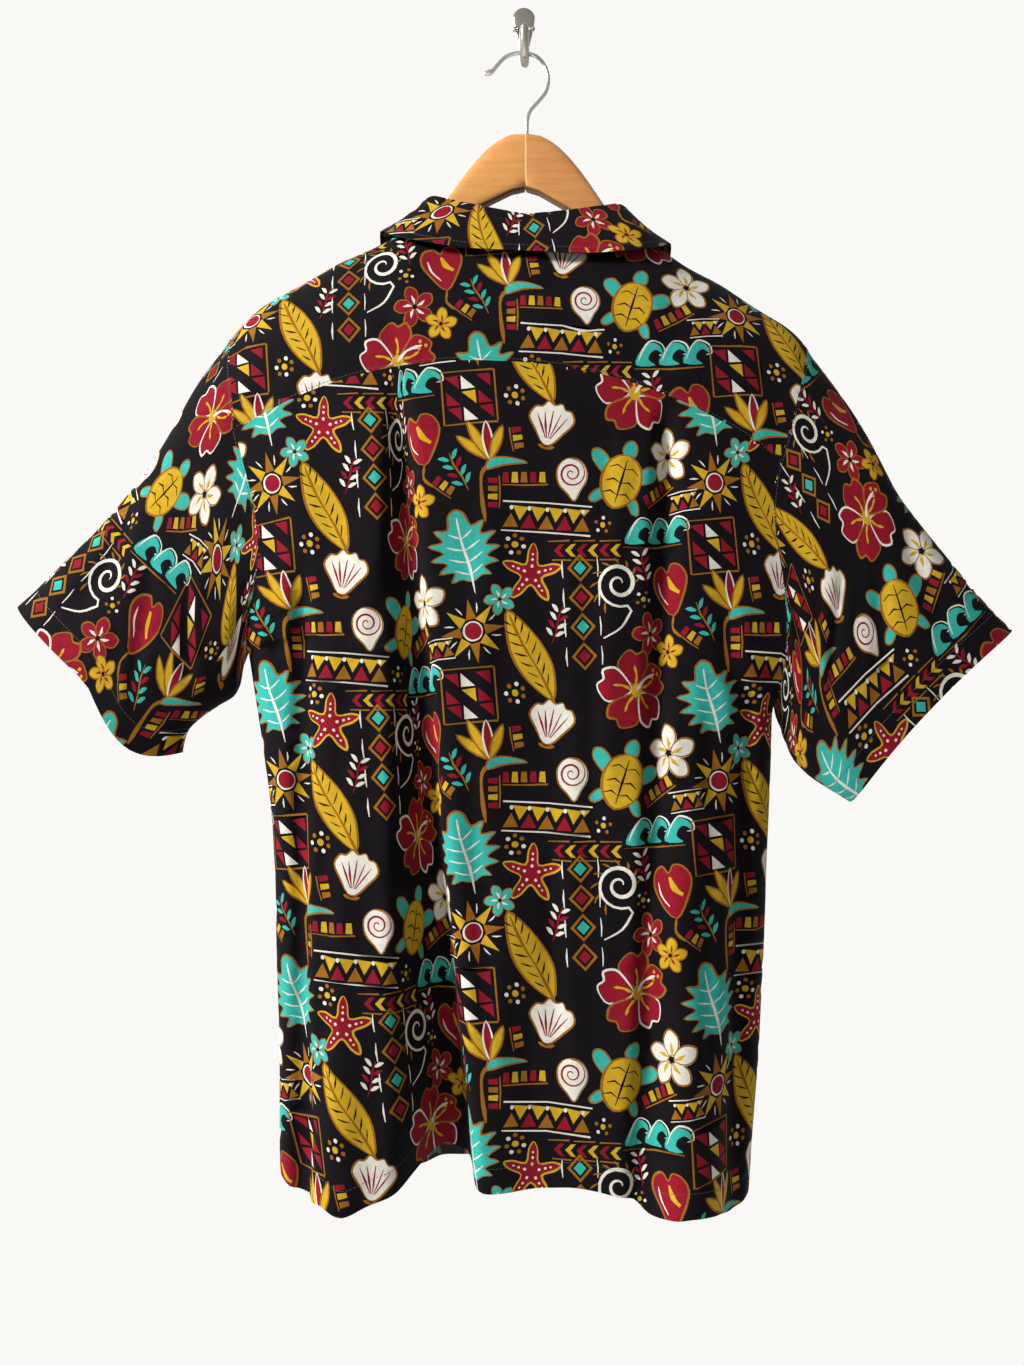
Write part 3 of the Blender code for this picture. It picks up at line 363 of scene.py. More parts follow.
def back_section(row):
    """The back at one of its rows, 0 at the yoke seam."""
    if row <= BACK_UPPER:
        share = row / BACK_UPPER
        ends = []
        for side in (-1, 1):
            top, pit = ridge(ARMHOLES[side]["top_x"])[2], ARMHOLES[side]["pit"][2]
            start = math.acos(2 * (ARMHOLES[side]["seam_z"] - pit) / (top - pit) - 1)
            ends.append(armhole(side, lerp(math.degrees(start), 180, share), False))
        reach = lerp(BACK_REACH, 90, smooth(share) ** 1.5)
    else:
        share = (row - BACK_UPPER) / BODY_ROWS
        ends = [side_seam(side, share) for side in (-1, 1)]
        reach = 90
    level = (ends[0][2] + ends[1][2]) / 2
    lift = (YOKE_MIDDLE_Z - YOKE_SIDE_Z) * smooth(
        (level - LIFT_BELOW) / (YOKE_SIDE_Z - LIFT_BELOW))
    middle_y = read(BACK_DEPTH, "y", "z", level + lift)
    points, loose = bow_section(ends[0], ends[1], middle_y, reach, lift)
    depth, sideways = fold_depth(BACK_FOLDS, points[:, 0], points[:, 2])
    if row == 0:
        loose = 0 * loose
    points[:, 0] += sideways * loose
    points[:, 1] += depth * loose
    low = smooth((HEM_Z + HEM_REACH - points[:, 2]) / HEM_REACH)
    points[:, 2] += (HEM_LIFT * depth + read(HEM_RISE, "up", "x", points[:, 0])) * loose * low
    return points


def front_section(side, row):
    """A front at one of its rows, from its outer edge to its inner one; 1 is the first
    row below the shoulder seam."""
    upper = len(FRONT_ANGLES)
    if row <= upper:
        outer = armhole(side, np.interp(row, range(1, upper + 1), FRONT_ANGLES), True)
        out = read(NECKLINE, "out", "row", row)
        inner_z = read(NECKLINE, "z", "row", row)
        reach = lerp(FRONT_REACH, 90, smooth(row / upper) ** 2)
    else:
        share = (row - upper) / BODY_ROWS
        outer = side_seam(side, share)
        out = -OVERLAP
        inner_z = lerp(NECKLINE["z"][-1], HEM_Z, share)
        reach = 90
    inner = np.array([COLLAR_X + side * out, FRONT_Y[side], inner_z])
    inner[1] -= NECKLINE_TURN * smooth((out - NECKLINE_FROM) / NECKLINE_OVER)
    p, end = 2 / BOW_POWER, math.radians(reach)
    angle = np.linspace(end, 0, FINE)
    across = (np.sin(angle) / math.sin(end)) ** p
    floor = max(math.cos(end), 0) ** p
    turn = (1 - np.clip(np.cos(angle), 0, 1) ** p) / (1 - floor)
    points = inner + (outer - inner) * across[:, None]
    points[:, 1] = lerp(inner[1], outer[1], turn)
    depth, sideways = fold_depth(FRONT_FOLDS, points[:, 0], points[:, 2])
    loose = 1 - across ** HELD_EDGE
    points[:, 0] += sideways * loose
    points[:, 1] -= depth * loose
    return points


def arch(share, degrees, seam):
    """A point of the yoke: share across it, and degrees round the shoulder from the ridge,
    90 at the yoke seam on the back and negative on the front."""
    edges = [ARMHOLES[side]["top_x"] for side in (-1, 1)]
    top = ridge(np.array(lerp(edges[0], edges[1], share)))
    run = (seam[:, 0] - seam[0, 0]) / (seam[-1, 0] - seam[0, 0])
    base = at_run(share, run, seam)
    a = math.radians(degrees)
    if degrees >= 0:
        fall = 1 - math.cos(a)
        return np.array([lerp(*ends) for ends in zip(top, base, (fall, math.sin(a), fall))])
    deep = FRONT_Y[-1] - YOKE_FRONT_STEP - top[1]
    return top + np.array([0, deep * math.sin(-a), -YOKE_FRONT_DROP * (1 - math.cos(a))])


def neck_edge(count):
    """The neck's edge in even steps: -1 to 1 across it, and 0 to 1 from front to back."""
    a = np.linspace(-math.pi / 2, math.pi / 2, FINE)
    across = np.sign(a) * abs(np.sin(a)) ** NECK_SQUARE * NECK_HALF
    deep = np.clip(np.cos(a), 0, 1) ** NECK_SQUARE * NECK_DEEP
    line = spaced(np.stack([across, deep, 0 * a], axis=1), count)
    return line[:, 0] / NECK_HALF, line[:, 1] / NECK_DEEP


# ---------------------------------------------------------------- the print
# Millimetres, y up. Each motif is a list of (colour, outline), painted in that order.
GROUND, RED, GOLD, OCHRE, TEAL, WHITE = range(6)


def stroke(points, width=2.0, ends=0.35):
    """A brush line along points, uneven in width and thin at its ends."""
    points = np.array(points, float)
    way = np.gradient(points, axis=0)
    side = np.stack([-way[:, 1], way[:, 0]], axis=1) / np.linalg.norm(way, axis=1)[:, None]
    u = np.linspace(0, 1, len(points))
    wide = width / 2 * (1 + 0.28 * np.sin(9 * u + points[0].sum()))
    wide *= np.minimum(1, ends + 5 * np.minimum(u, 1 - u))
    side *= wide[:, None]
    return np.concatenate([points + side, (points - side)[::-1]])


def round_of(points, width=2.0):
    """A brush line round a closed outline, whose ends just miss each other."""
    ring = curve(points)
    return stroke(np.concatenate([ring, ring[:1] * 0.85 + ring[1:2] * 0.15]), width, 0.5)


def turned(parts, degrees=0, size=1.0, at=(0, 0)):
    """A motif turned, scaled and moved."""
    a = math.radians(degrees)
    m = np.array([[math.cos(a), math.sin(a)], [-math.sin(a), math.cos(a)]]) * size
    return [(c, np.array(p) @ m + at) for c, p in parts]


def filled(points, colour, edge=OCHRE, width=2.0, slip=(0.8, -0.6)):
    """A leaf or petal with its outline printed a little out of place."""
    return [(colour, curve(points) + slip), (edge, round_of(points, width))]


def dot(x, y, r, colour):
    a = np.linspace(0, 2 * np.pi, 8)[:-1]
    return (colour, np.stack([x + r * np.cos(a), y + r * 1.15 * np.sin(a)], axis=1))


def hibiscus():
    out = []
    petal = [(0, 5), (9, 12), (17, 24), (13, 35), (5, 33), (-1, 38), (-9, 34), (-15, 25), (-8, 11)]
    for k in range(5):
        out += turned(filled(petal, RED, WHITE if k % 2 else OCHRE, 1.8), 72 * k + 8)
    for k in range(5):
        out += turned([(GOLD, stroke(curve([(0, 6), (2, 14), (1, 23)], False), 2.2))], 72 * k + 8)
    out += [dot(0, 0, 6, GOLD), (WHITE, stroke(curve([(0, 0), (9, 10), (24, 15)], False), 2.6))]
    return out + [dot(24 + 4 * math.cos(k), 15 + 4 * math.sin(k), 1.7, GOLD)
                  for k in range(0, 6, 2)]


def plumeria(colour=WHITE, heart=GOLD):
    out = []
    for k in range(5):
        out += turned(filled([(1, 3), (8, 9), (9, 19), (1, 25), (-6, 17), (-4, 7)],
                             colour, OCHRE, 1.4), 72 * k)
        out += turned([(heart, stroke([(1, 3), (2, 8), (1.5, 14)], 3.0, 0.2))], 72 * k)
    return out


def monstera():
    half = [(0, -34), (10, -30), (20, -31), (15, -22), (30, -20), (20, -12), (35, -6), (21, -1),
            (34, 9), (19, 10), (25, 22), (12, 20), (8, 33)]
    leaf = half + [(0, 38)] + [(-x, y) for x, y in half[:0:-1]]
    out = filled(leaf, TEAL, OCHRE, 1.8)
    out.append((WHITE, stroke(curve([(0, -46), (1, -20), (-1, 8), (0, 30)], False), 2.4)))
    for y, x in ((-24, 14), (-12, 17), (0, 17), (12, 12)):
        for s in (-1, 1):
            out.append((WHITE, stroke([(0, y - 3), (s * x * 0.5, y), (s * x, y + 4)], 1.5)))
    return out


def banana_leaf():
    out = filled([(0, -48), (9, -36), (15, -18), (15, 4), (10, 26), (1, 46), (-9, 28), (-15, 6),
                  (-14, -16), (-8, -35)], GOLD, OCHRE, 2.0)
    out.append((OCHRE, stroke(curve([(0, -56), (1, -20), (-1, 12), (1, 42)], False), 2.4)))
    for k in range(7):
        y = -34 + 11 * k
        reach = 12 - abs(k - 3) * 1.4
        for s in (-1, 1):
            out.append((GROUND, stroke([(s * 2, y), (s * reach * 0.6, y + 4), (s * reach, y + 9)],
                                       1.8)))
    return out


def fern_curl(colour=WHITE):
    a = np.linspace(0.4, 3.7 * np.pi, 34)
    r = 2.2 + 1.75 * a
    curl = np.stack([r * np.cos(a), r * np.sin(a)], axis=1)
    stem = np.array([[16, -24], [10, -42], [-4, -56]]) + [2, 2]
    out = [(colour, stroke(np.concatenate([curl, curve(stem, False)]), 3.2))]
    for k in range(9):
        b = 2.1 * np.pi + 0.5 * k
        r0 = 2.2 + 1.75 * b
        out.append((OCHRE, stroke([(r0 * math.cos(b) * 1.1, r0 * math.sin(b) * 1.1),
                                   (r0 * math.cos(b + 0.1) * 1.3, r0 * math.sin(b + 0.1) * 1.3),
                                   (r0 * math.cos(b + 0.2) * 1.5, r0 * math.sin(b + 0.2) * 1.5)],
                                  2.4)))
    return out


def scallop():
    fan = [(-5, -20), (5, -20), (16, -6), (25, 8), (20, 19), (13, 20), (8, 26), (0, 23), (-7, 27),
           (-13, 20), (-20, 19), (-25, 7), (-15, -7)]
    out = filled(fan, WHITE, OCHRE, 1.8)
    for x in (-17, -9, 0, 9, 17):
        out.append((RED, stroke([(x * 0.15, -14), (x * 0.6, 0), (x, 17 - abs(x) * 0.3)], 2.2)))
    return out + [(OCHRE, stroke(curve([(-9, -22), (0, -25), (9, -22)], False), 3))]


def turtle():
    out = []
    for s in (-1, 1):
        out += filled([(s * 12, 12), (s * 26, 24), (s * 36, 22), (s * 33, 12), (s * 18, 3)],
                      TEAL, OCHRE, 1.5)
        out += filled([(s * 11, -16), (s * 20, -27), (s * 26, -24), (s * 20, -13)], TEAL, OCHRE,
                      1.5)
    out += filled([(0, 24), (7, 29), (6, 38), (0, 42), (-6, 38), (-7, 29)], TEAL, OCHRE, 1.5)
    out += filled([(0, 27), (15, 19), (20, 2), (15, -16), (0, -27), (-15, -16), (-20, 2),
                   (-15, 19)], GOLD, OCHRE, 2.2)
    out.append((GROUND, stroke([(0, 22), (0, 0), (0, -22)], 2.0)))
    for y in (12, -2, -14):
        for s in (-1, 1):
            out.append((GROUND, stroke([(0, y), (s * 8, y + 3), (s * 15, y - 1)], 1.8)))
    return out


def sun():
    out = []
    for k in range(8):
        out += turned([(GOLD if k % 2 else OCHRE, [(-5, 11), (0, 31), (5, 12)]),
                       (WHITE, stroke([(6.5, 17), (7.5, 21), (8, 26)], 1.5))], 45 * k + 10)
    ring = [(9 * math.cos(k), 9 * math.sin(k)) for k in np.arange(0, 6.2, 0.9)]
    return out + filled(ring, RED, WHITE, 1.6)


def band(count=5):
    """A tapa band: triangles between two lines, with a dot in each."""
    out = [(WHITE, stroke([(0, y), (8 * count, y + 0.8), (16 * count, y)], 1.8, 0.8))
           for y in (-13, 13)]
    for k in range(count):
        x = 16 * k + 1
        out += [(RED if k % 2 else OCHRE, [(x, -10), (x + 14, -9), (x + 7, 3)]),
                (GOLD, [(x + 8, 10), (x + 15, -3), (x + 22, 9)] if k < count - 1 else
                 [(x + 4, 10), (x + 8, 4), (x + 13, 10)]),
                dot(x + 7, 8, 1.8, WHITE)]
    return turned(out, 0, 1, (-8 * count, 0))


def tapa_block():
    """A square of triangles in a border."""
    out, start, end = [], (-23, -23), (23, -24)
    for _ in range(4):
        out.append((OCHRE, stroke([start, end], 1.8, 0.8)))
        start, end = (-start[1], start[0]), (-end[1], end[0])
    for i in range(3):
        for j in range(3):
            x, y = -20 + 14 * i, -20 + 14 * j
            colour = (RED, WHITE, RED, GOLD)[(i + 2 * j) % 4]
            corner = [(x, y), (x + 12, y), (x + 0.5, y + 12)] if (i + j) % 2 else [
                (x + 12, y + 12), (x, y + 11.5), (x + 12, y)]
            out.append((colour, corner))
    return out


def wave():
    out = []
    for k in range(3):
        x = 27 * k
        out += [(TEAL, curve([(x - 14, -12), (x - 8, 3), (x + 4, 12), (x + 15, 8), (x + 17, 0),
                              (x + 10, 4), (x + 3, 0), (x + 1, -7), (x + 8, -13)])),
                (WHITE, stroke(curve([(x - 11, -8), (x - 4, 6), (x + 5, 14), (x + 17, 10),
                                      (x + 20, 0), (x + 13, -2)], False), 1.7))]
    return turned(out + [(OCHRE, stroke([(-16, -16), (25, -18), (64, -16)], 2.4))], 0, 1, (-26, 0))


def paradise_flower():
    out = [(OCHRE, stroke(curve([(2, -52), (-4, -28), (-6, -8), (2, 2)], False), 3.4))]
    out += filled([(-2, -4), (14, 2), (34, 6), (16, 9), (0, 6)], TEAL, OCHRE, 1.6)
    for a, r, c in ((62, 38, GOLD), (38, 42, GOLD), (14, 36, RED), (-12, 34, GOLD)):
        out += turned(filled([(0, 0), (5, r * 0.5), (1, r), (-4, r * 0.55)], c,
                             WHITE if c == RED else OCHRE, 1.5), a, 1, (0, 5))
    return out


def lozenges(count=4):
    out = []
    for k in range(count):
        y = 25 * k
        out += [(OCHRE, [(0, y - 12), (11, y), (0, y + 12), (-11, y)]),
                (GROUND, [(0, y - 9), (8, y), (0, y + 9), (-8, y)]),
                (TEAL if k % 2 else RED, [(0, y - 6), (5.5, y), (0, y + 6), (-5.5, y)])]
        out += [(WHITE, stroke([(s * 15, y - 8), (s * 15.5, y), (s * 15, y + 8)], 1.6))
                for s in (-1, 1)]
    return turned(out, 0, 1, (0, -12.5 * (count - 1)))


def starfish():
    ring = []
    for k in range(5):
        for r, turn in ((28, 0), (21, 11), (10, 36), (21, 61)):
            a = math.radians(72 * k + turn + 4)
            ring.append((r * math.sin(a), r * math.cos(a)))
    out = filled(ring, RED, GOLD, 1.7)
    for k in range(5):
        out += turned([dot(0, 7, 1.4, WHITE), dot(0, 13, 1.2, WHITE), dot(0, 18, 1.0, WHITE)],
                      72 * k - 4)
    return out


def anthurium():
    heart = [(0, -30), (14, -14), (22, 4), (17, 17), (7, 20), (1, 13), (-6, 20), (-17, 16),
             (-21, 3), (-13, -14)]
    return filled(heart, RED, OCHRE, 2.0) + [
        (GOLD, stroke(curve([(1, 9), (4, -2), (11, -9)], False), 5.0, 0.6)),
        (WHITE, stroke(curve([(-14, 6), (-12, -6), (-4, -18)], False), 1.8)),
        (OCHRE, stroke(curve([(0, -30), (-3, -42), (4, -52)], False), 2.6))]


def spiral_shell():
    a = np.linspace(0, 4.4 * np.pi, 40)
    r = 1.5 + 1.25 * a
    out = filled([(0, 20), (15, 14), (21, 0), (16, -14), (4, -24), (-8, -34), (-13, -22),
                  (-19, -6), (-14, 12)], WHITE, OCHRE, 1.8)
    return out + [(RED, stroke(np.stack([r * np.cos(a) + 1, r * np.sin(a)], axis=1), 2.2))]


def chevrons(count=6):
    """A stem of chevrons between two broken lines."""
    out = [(OCHRE, stroke([(-9, y), (-8.5, y + 18)], 1.6, 0.8)) for y in range(-28, 20, 22)]
    out += [(OCHRE, stroke([(9, y), (8.6, y + 20)], 1.6, 0.8)) for y in range(-30, 20, 24)]
    for k in range(count):
        y = -30 + 10.5 * k
        out.append(((GOLD, RED)[k % 2], [(-6, y), (0, y + 5), (6, y), (5.5, y + 4.5), (0, y + 10),
                                         (-5.5, y + 4.5)]))
    return out


def sprig(leaf=GOLD, stem=OCHRE):
    """A short stem with small leaves on both sides."""
    out = [(stem, stroke([(0, -22), (1.5, -8), (0, 8), (2, 20)], 2.0))]
    for k in range(4):
        y = -14 + 9 * k
        for s in (-1, 1):
            out.append((leaf if (k + s) % 3 else RED, curve(
                [(s * 1.5, y), (s * 6, y + 1), (s * 11, y + 7), (s * 5, y + 6)], steps=2)))
    return out


def seeds(count=7):
    """A ring of seeds round a larger one."""
    out = [dot(0, 0, 2.6, GOLD)]
    for k in range(count):
        a = 2 * math.pi * k / count
        out.append(dot(7 * math.cos(a), 7 * math.sin(a), 1.7, (OCHRE, WHITE)[k % 2]))
    return out


def ladder(count=5):
    """Small blocks in two colours side by side, with a line under them."""
    out = [(OCHRE, stroke([(-4 * count, -6), (0, -6.6), (4 * count, -6)], 1.5, 0.8))]
    for k in range(count):
        x = -4 * count + 8 * k
        block = [(x, -4), (x + 6, -4.4), (x + 5.4, 5), (x + 0.8, 5)]
        out.append(((RED, GOLD, OCHRE)[k % 3], block))
    return out


REPEAT = (208.2, 234.1)
# What is printed where in one repeat: x and y from its upper left corner, turn and size.
LAYOUT = (
    (hibiscus(), 38, 37, 0, 0.84), (monstera(), 110, 43, 14, 0.79), (band(), 175, 20, -4, 0.88),
    (starfish(), 163, 63, 0, 0.86), (lozenges(), 203, 93, 3, 0.92),
    (plumeria(), 74, 86, 10, 0.9), (turtle(), 26, 108, -18, 0.81), (sun(), 117, 108, 0, 0.82),
    (banana_leaf(), 161, 126, 28, 0.83), (wave(), 58, 146, 3, 0.74),
    (tapa_block(), 114, 158, 6, 0.9), (fern_curl(), 24, 188, -14, 0.82),
    (anthurium(), 74, 189, 12, 0.81), (paradise_flower(), 130, 212, -6, 0.86),
    (scallop(), 178, 181, -12, 0.72), (spiral_shell(), 194, 219, 20, 0.62),
    (plumeria(RED, WHITE), 52, 227, 24, 0.7), (band(3), 88, 123, 8, 0.6),
    (plumeria(TEAL, WHITE), 138, 83, 30, 0.5), (plumeria(GOLD, RED), 74, 7, 0, 0.55),
    (chevrons(), 0, 162, 90, 0.85), (sprig(TEAL, OCHRE), 105, 217, 30, 0.8),
    (ladder(), 158, 222, 0, 0.9), (sprig(WHITE, RED), 183, 102, -14, 0.7),
    (seeds(), 150, 156, 30, 1.0), (seeds(5), 11, 142, 12, 0.8), (ladder(3), 95, 229, -35, 0.8),
    (ladder(), 61, 115, 30, 0.9), (sprig(WHITE, RED), 44, 175, 12, 0.7),
    (ladder(4), 133, 233, 90, 0.8), (seeds(), 150, 40, 90, 1.0), (seeds(5), 44, 200, -80, 0.8),
    (ladder(3), 152, 191, -80, 0.8),
)


# ---------------------------------------------------------------- fine grids of the cloth
def body_panels():
    """Fine grids of the back, the yoke and the two fronts, rows from top to bottom."""
    upper, lower = BACK_UPPER * DOWN, BODY_ROWS * DOWN
    columns, shoulder = COLUMNS * ACROSS, SHOULDER * ACROSS
    back = np.array([spaced(back_section(k / DOWN), columns) for k in range(upper + lower + 1)])

    seam = back_section(0)
    run = (back[0, :, 0] - back[0, 0, 0]) / (back[0, -1, 0] - back[0, 0, 0])
    edges = [ARMHOLES[side]["top_x"] for side in (-1, 1)]
    neck = [(COLLAR_X + s * NECK_HALF - edges[0]) / (edges[1] - edges[0]) for s in (-1, 1)]
    last, right = len(YOKE_ANGLES) - 1, columns - shoulder
    yoke = np.zeros((last * DOWN + 1, columns + 1, 3))
    across, deep = neck_edge(right - shoulder)
    for j in range(columns + 1):
        top_angle = YOKE_ANGLES[0]
        if j <= shoulder:
            top_share = lerp(0, neck[0], j / shoulder)
        elif j >= right:
            top_share = lerp(neck[1], 1, (j - right) / shoulder)
        else:
            top_share = lerp(neck[0], neck[1], (across[j - shoulder] + 1) / 2)
            top_angle = lerp(YOKE_ANGLES[0], NECK_ANGLE, deep[j - shoulder])
        for i in range(last * DOWN + 1):
            angle = np.interp(i / DOWN, range(last + 1), YOKE_ANGLES)
            down = i / DOWN / last
            if top_angle == YOKE_ANGLES[0]:
                down = (angle - YOKE_ANGLES[0]) / (90 - YOKE_ANGLES[0])
            yoke[i, j] = arch(lerp(top_share, run[j], smooth(down)),
                              lerp(top_angle, 90, down), seam)
    yoke[-1] = back[0]

    fronts = {}
    rows = len(FRONT_ANGLES)
    for side in (-1, 1):
        top = yoke[0, :shoulder + 1] if side < 0 else yoke[0, ::-1][:shoulder + 1]
        below = [spaced(front_section(side, 1 + k / DOWN), shoulder)
                 for k in range((rows - 1) * DOWN + lower + 1)]
        front = np.array([lerp(top, below[0], k / DOWN) for k in range(DOWN)] + below)
        front[rows * DOWN:, 0] = back[upper:, 0 if side < 0 else -1]
        fronts[side] = front
    return back, yoke, fronts


def sleeve_grid(side, back, yoke, front):
    """Rows from the armhole to the cuff, columns round from the pit up the back."""
    edge = 0 if side < 0 else -1
    behind = np.concatenate([back[BACK_UPPER * DOWN:0:-1, edge], yoke[:0:-1, edge]])
    ahead = np.concatenate([yoke[:1, edge], front[1:len(FRONT_ANGLES) * DOWN, 0]])
    ring = np.concatenate([behind, ahead])
    ring = np.concatenate([ring, ring[:1]])
    top = len(behind) - YOKE_ANGLES.index(0) * DOWN
    steps = distances(ring)
    turn = np.interp(steps, [0, steps[top], steps[-1]], [np.pi, 0, -np.pi])
    flat, deep = (squared(wave, SLEEVE_SQUARE) for wave in (np.cos(turn), np.sin(turn)))

    def section(t):
        top_x, top_z, low_x, low_z, y, half = (
            read(SLEEVES[side], name, "t", t)
            for name in ("top_x", "top_z", "under_x", "under_z", "y", "half"))
        across = np.array([top_x - low_x, 0, top_z - low_z])
        middle = np.array([(top_x + low_x) / 2, y, (top_z + low_z) / 2])
        axis = np.array([side * across[2], 0, -side * across[0]])
        axis /= np.linalg.norm(axis)
        middle_bulge, low_bulge = CUFF_BULGE[side]
        low = np.clip(-flat, 0, 1)
        bulge = t ** 2 * (middle_bulge * (1 - flat ** 2) + low_bulge * low * (1 - low ** 3))
        return (middle + across / 2 * flat[:, None]
                - np.array([0, half, 0]) * deep[:, None] + axis * bulge[:, None])

    start = ring - section(0)
    count = SLEEVE_ROWS * DOWN
    return np.array([section(k / count) + start * (1 - k / count) ** 2
                     for k in range(count + 1)])


def collar_grid(yoke, fronts):
    """Under side of the collar, rows from the neck seam over the roll to the fall's edge."""
    shoulder = SHOULDER * ACROSS
    neck = yoke[0, shoulder:COLUMNS * ACROSS - shoulder + 1]
    gorge, half_neck = GORGE_ROW * DOWN, COLUMNS / 2 - SHOULDER
    seam = np.concatenate([fronts[-1][gorge:0:-1, -1], neck, fronts[1][1:gorge + 1, -1]])
    down = np.arange(gorge, 0, -1) / DOWN + half_neck
    middle = np.linspace(-half_neck, half_neck, len(neck))
    station = np.concatenate([-down, middle, down[::-1]]) / (half_neck + GORGE_ROW)
    side, q = np.sign(station), abs(station)

    def point(name):
        x = COLLAR_X + side * read(COLLAR, name + "_x", "q", q)
        z = read(COLLAR, name + "_z", "q", q) - x * COLLAR_TILT
        return np.stack([x, read(COLLAR, name + "_y", "q", q), z], axis=1)

    roll, edge = point("roll"), point("edge")
    out = edge - roll
    out[:, 2] *= smooth((q - COLLAR_FLAT) / (1 - COLLAR_FLAT))
    out, fall = unit(out), unit(edge - roll)
    over = -(fall - out * (fall * out).sum(axis=1)[:, None])
    over[q > COLLAR_LIES] = (0, 1, 0)
    over /= np.maximum(np.linalg.norm(over, axis=1), 1e-6)[:, None]
    inside = roll - out * COLLAR_ROLL
    outside = roll + out * COLLAR_ROLL
    crown = roll + over * COLLAR_ROLL
    belly = lerp(outside, edge, 0.5) + over * COLLAR_BELLY
    stand = lerp(seam, inside, COLLAR_STAND)
    return curve([seam, stand, inside, crown, outside, belly, edge], False, 4)


def lapel_grid(side):
    """Under side of a lapel, rows down the neckline, columns from its root outwards."""
    rows = LAPELS[side]
    grid = []
    for row in np.linspace(rows[0], rows[-1], (len(rows) - 1) * DOWN + 1):
        line = front_section(side, row)[::-1]
        root = line[0]
        out = along(line, LAPEL_START) - root
        out /= np.linalg.norm(out)
        lift = np.array([0, 1, 0])
        width = np.interp(row, rows, LAPEL_WIDTHS[:len(rows)])
        points = [root - out * back + lift * up for back, up in LAPEL_ROOT]
        points += [along(line, width * share) + lift * up for share, up in LAPEL_SPREAD]
        grid.append(curve(points, False))
    return np.array(grid)


# ---------------------------------------------------------------- cloth coordinates
SHELL = 0.0009  # thickness of the cloth that is seen
TAPER = 0.014  # small creases die out this far from a seam
PLEATS = (2, 4)  # rows of BACK_FOLDS that hide cloth right from the yoke seam
PLEAT_TAKES = 0.7  # share of that cloth that the print skips
PLEAT_REACH, PLEAT_STEP = 1.6, 1.5  # widths of its fold that a pleat gathers from and spans
PRINT_MIDDLE = 0.03  # where the print starts on the back and from where it runs both ways
CREASE_END = 0.3  # share of its length over which a small crease dies out at each end
CREASE_SWAY = 0.003  # how far its line sways
BANK_HIGH, BANK_OFF = 0.4, 2.1  # the cloth beside it rises by this share, so many widths off

# Small creases, from one end to the other, how wide and how deep. On the body the places are
# x and height, on a sleeve the way round from its upper edge and the way up from the cuff.
CREASE = "u0 v0 u1 v1 wide deep"
CREASES = {
    "back": table(
        CREASE,
        (-1580, -6000, -1600, -9400, 60, 22), (-1400, -4800, -1460, -7600, 70, 16),
        (-940, -3300, -1180, -5600, 60, 18), (-460, -4200, -300, -9300, 60, 17),
        (-120, -3500, -200, -6200, 90, 13), (220, -6000, 260, -9500, 60, 15),
        (480, -3800, 520, -8600, 70, 17), (740, -3300, 700, -5600, 60, -15),
        (1220, -4000, 1180, -8000, 60, 15), (1400, -5400, 1460, -9300, 60, 18),
        (1500, -4800, 1780, -5900, 70, 26), (1600, -6200, 1860, -6400, 60, 20),
        (-2060, -4700, -1820, -6000, 60, 22), (-2120, -6200, -1960, -7000, 50, 16),
        (900, -7000, 1000, -9400, 50, 14)),
    "yoke": table(
        CREASE,
        (-1100, -2300, -1040, -3100, 80, 14), (1200, -2400, 1120, -3200, 80, 14),
        (-1900, -2900, -2150, -3500, 80, 16), (1800, -3000, 2100, -3600, 80, 16),
        (-400, -2400, 400, -2460, 80, 10)),
    "front": table(
        CREASE,
        (-1800, -4500, -1860, -9000, 60, 22), (-1200, -3600, -1280, -8600, 70, 18),
        (-520, -3800, -460, -9200, 60, 15), (-1500, -4800, -2000, -5400, 80, 26),
        (520, -4200, 440, -9400, 60, 16), (1100, -3600, 1040, -8800, 70, 18),
        (1680, -6000, 1660, -9300, 60, 22), (1400, -5000, 1860, -5800, 80, 26)),
    "sleeve": table(
        CREASE, *[(s * a, b, s * c, *d) for s in (1, -1) for a, b, c, *d in (
            (-1500, -200, -600, -1200, 70, 26), (-1200, -100, -900, -600, 50, 20),
            (-600, -300, -200, -1500, 80, 22), (-1800, -600, -1100, -1400, 60, 26))]),
}


def add_mesh(name, points, faces, finishes):
    """An object of points and faces in the scene, with its finishes."""
    mesh = bpy.data.meshes.new(name)
    mesh.from_pydata(points, [], faces)
    for finish in finishes:
        mesh.materials.append(finish)
    made = bpy.data.objects.new(name, mesh)
    bpy.context.scene.collection.objects.link(made)
    return made


def lengths(grid, axis):
    """Distance run along an axis of a grid from its first points."""
    step = np.linalg.norm(np.diff(grid, axis=axis), axis=2)
    first = np.zeros_like(np.take(step, [0], axis))
    return np.concatenate([first, np.cumsum(step, axis=axis)], axis=axis)


def back_across(grid):
    """Place of each thread of the back across the cloth, from its middle."""
    run, x = lengths(grid, 1), grid[:, :, 0]
    step = np.diff(run, axis=1) - abs(np.diff(x, axis=1))
    middle = (x[:, 1:] + x[:, :-1]) / 2
    share = np.clip((YOKE_MIDDLE_Z - grid[:, :1, 2]) / (YOKE_MIDDLE_Z - HEM_Z), 0, 1)
    for k in PLEATS:
        f = {name: column[k] for name, column in BACK_FOLDS.items()}
        spot = lerp(f["start_x"], f["end_x"], share)
        wide = lerp(f["start_wide"], f["end_wide"], share)
        near = np.exp(-((middle - spot) / (PLEAT_REACH * wide)) ** 4)
        held = (step * near).sum(axis=1)
        hidden = (held[-1] - held)[:, None] * PLEAT_TAKES
        run = run + hidden * smooth((x - spot) / (PLEAT_STEP * wide) + 0.5)
    return run - np.array([[np.interp(PRINT_MIDDLE, row, r)] for row, r in zip(x, run)])


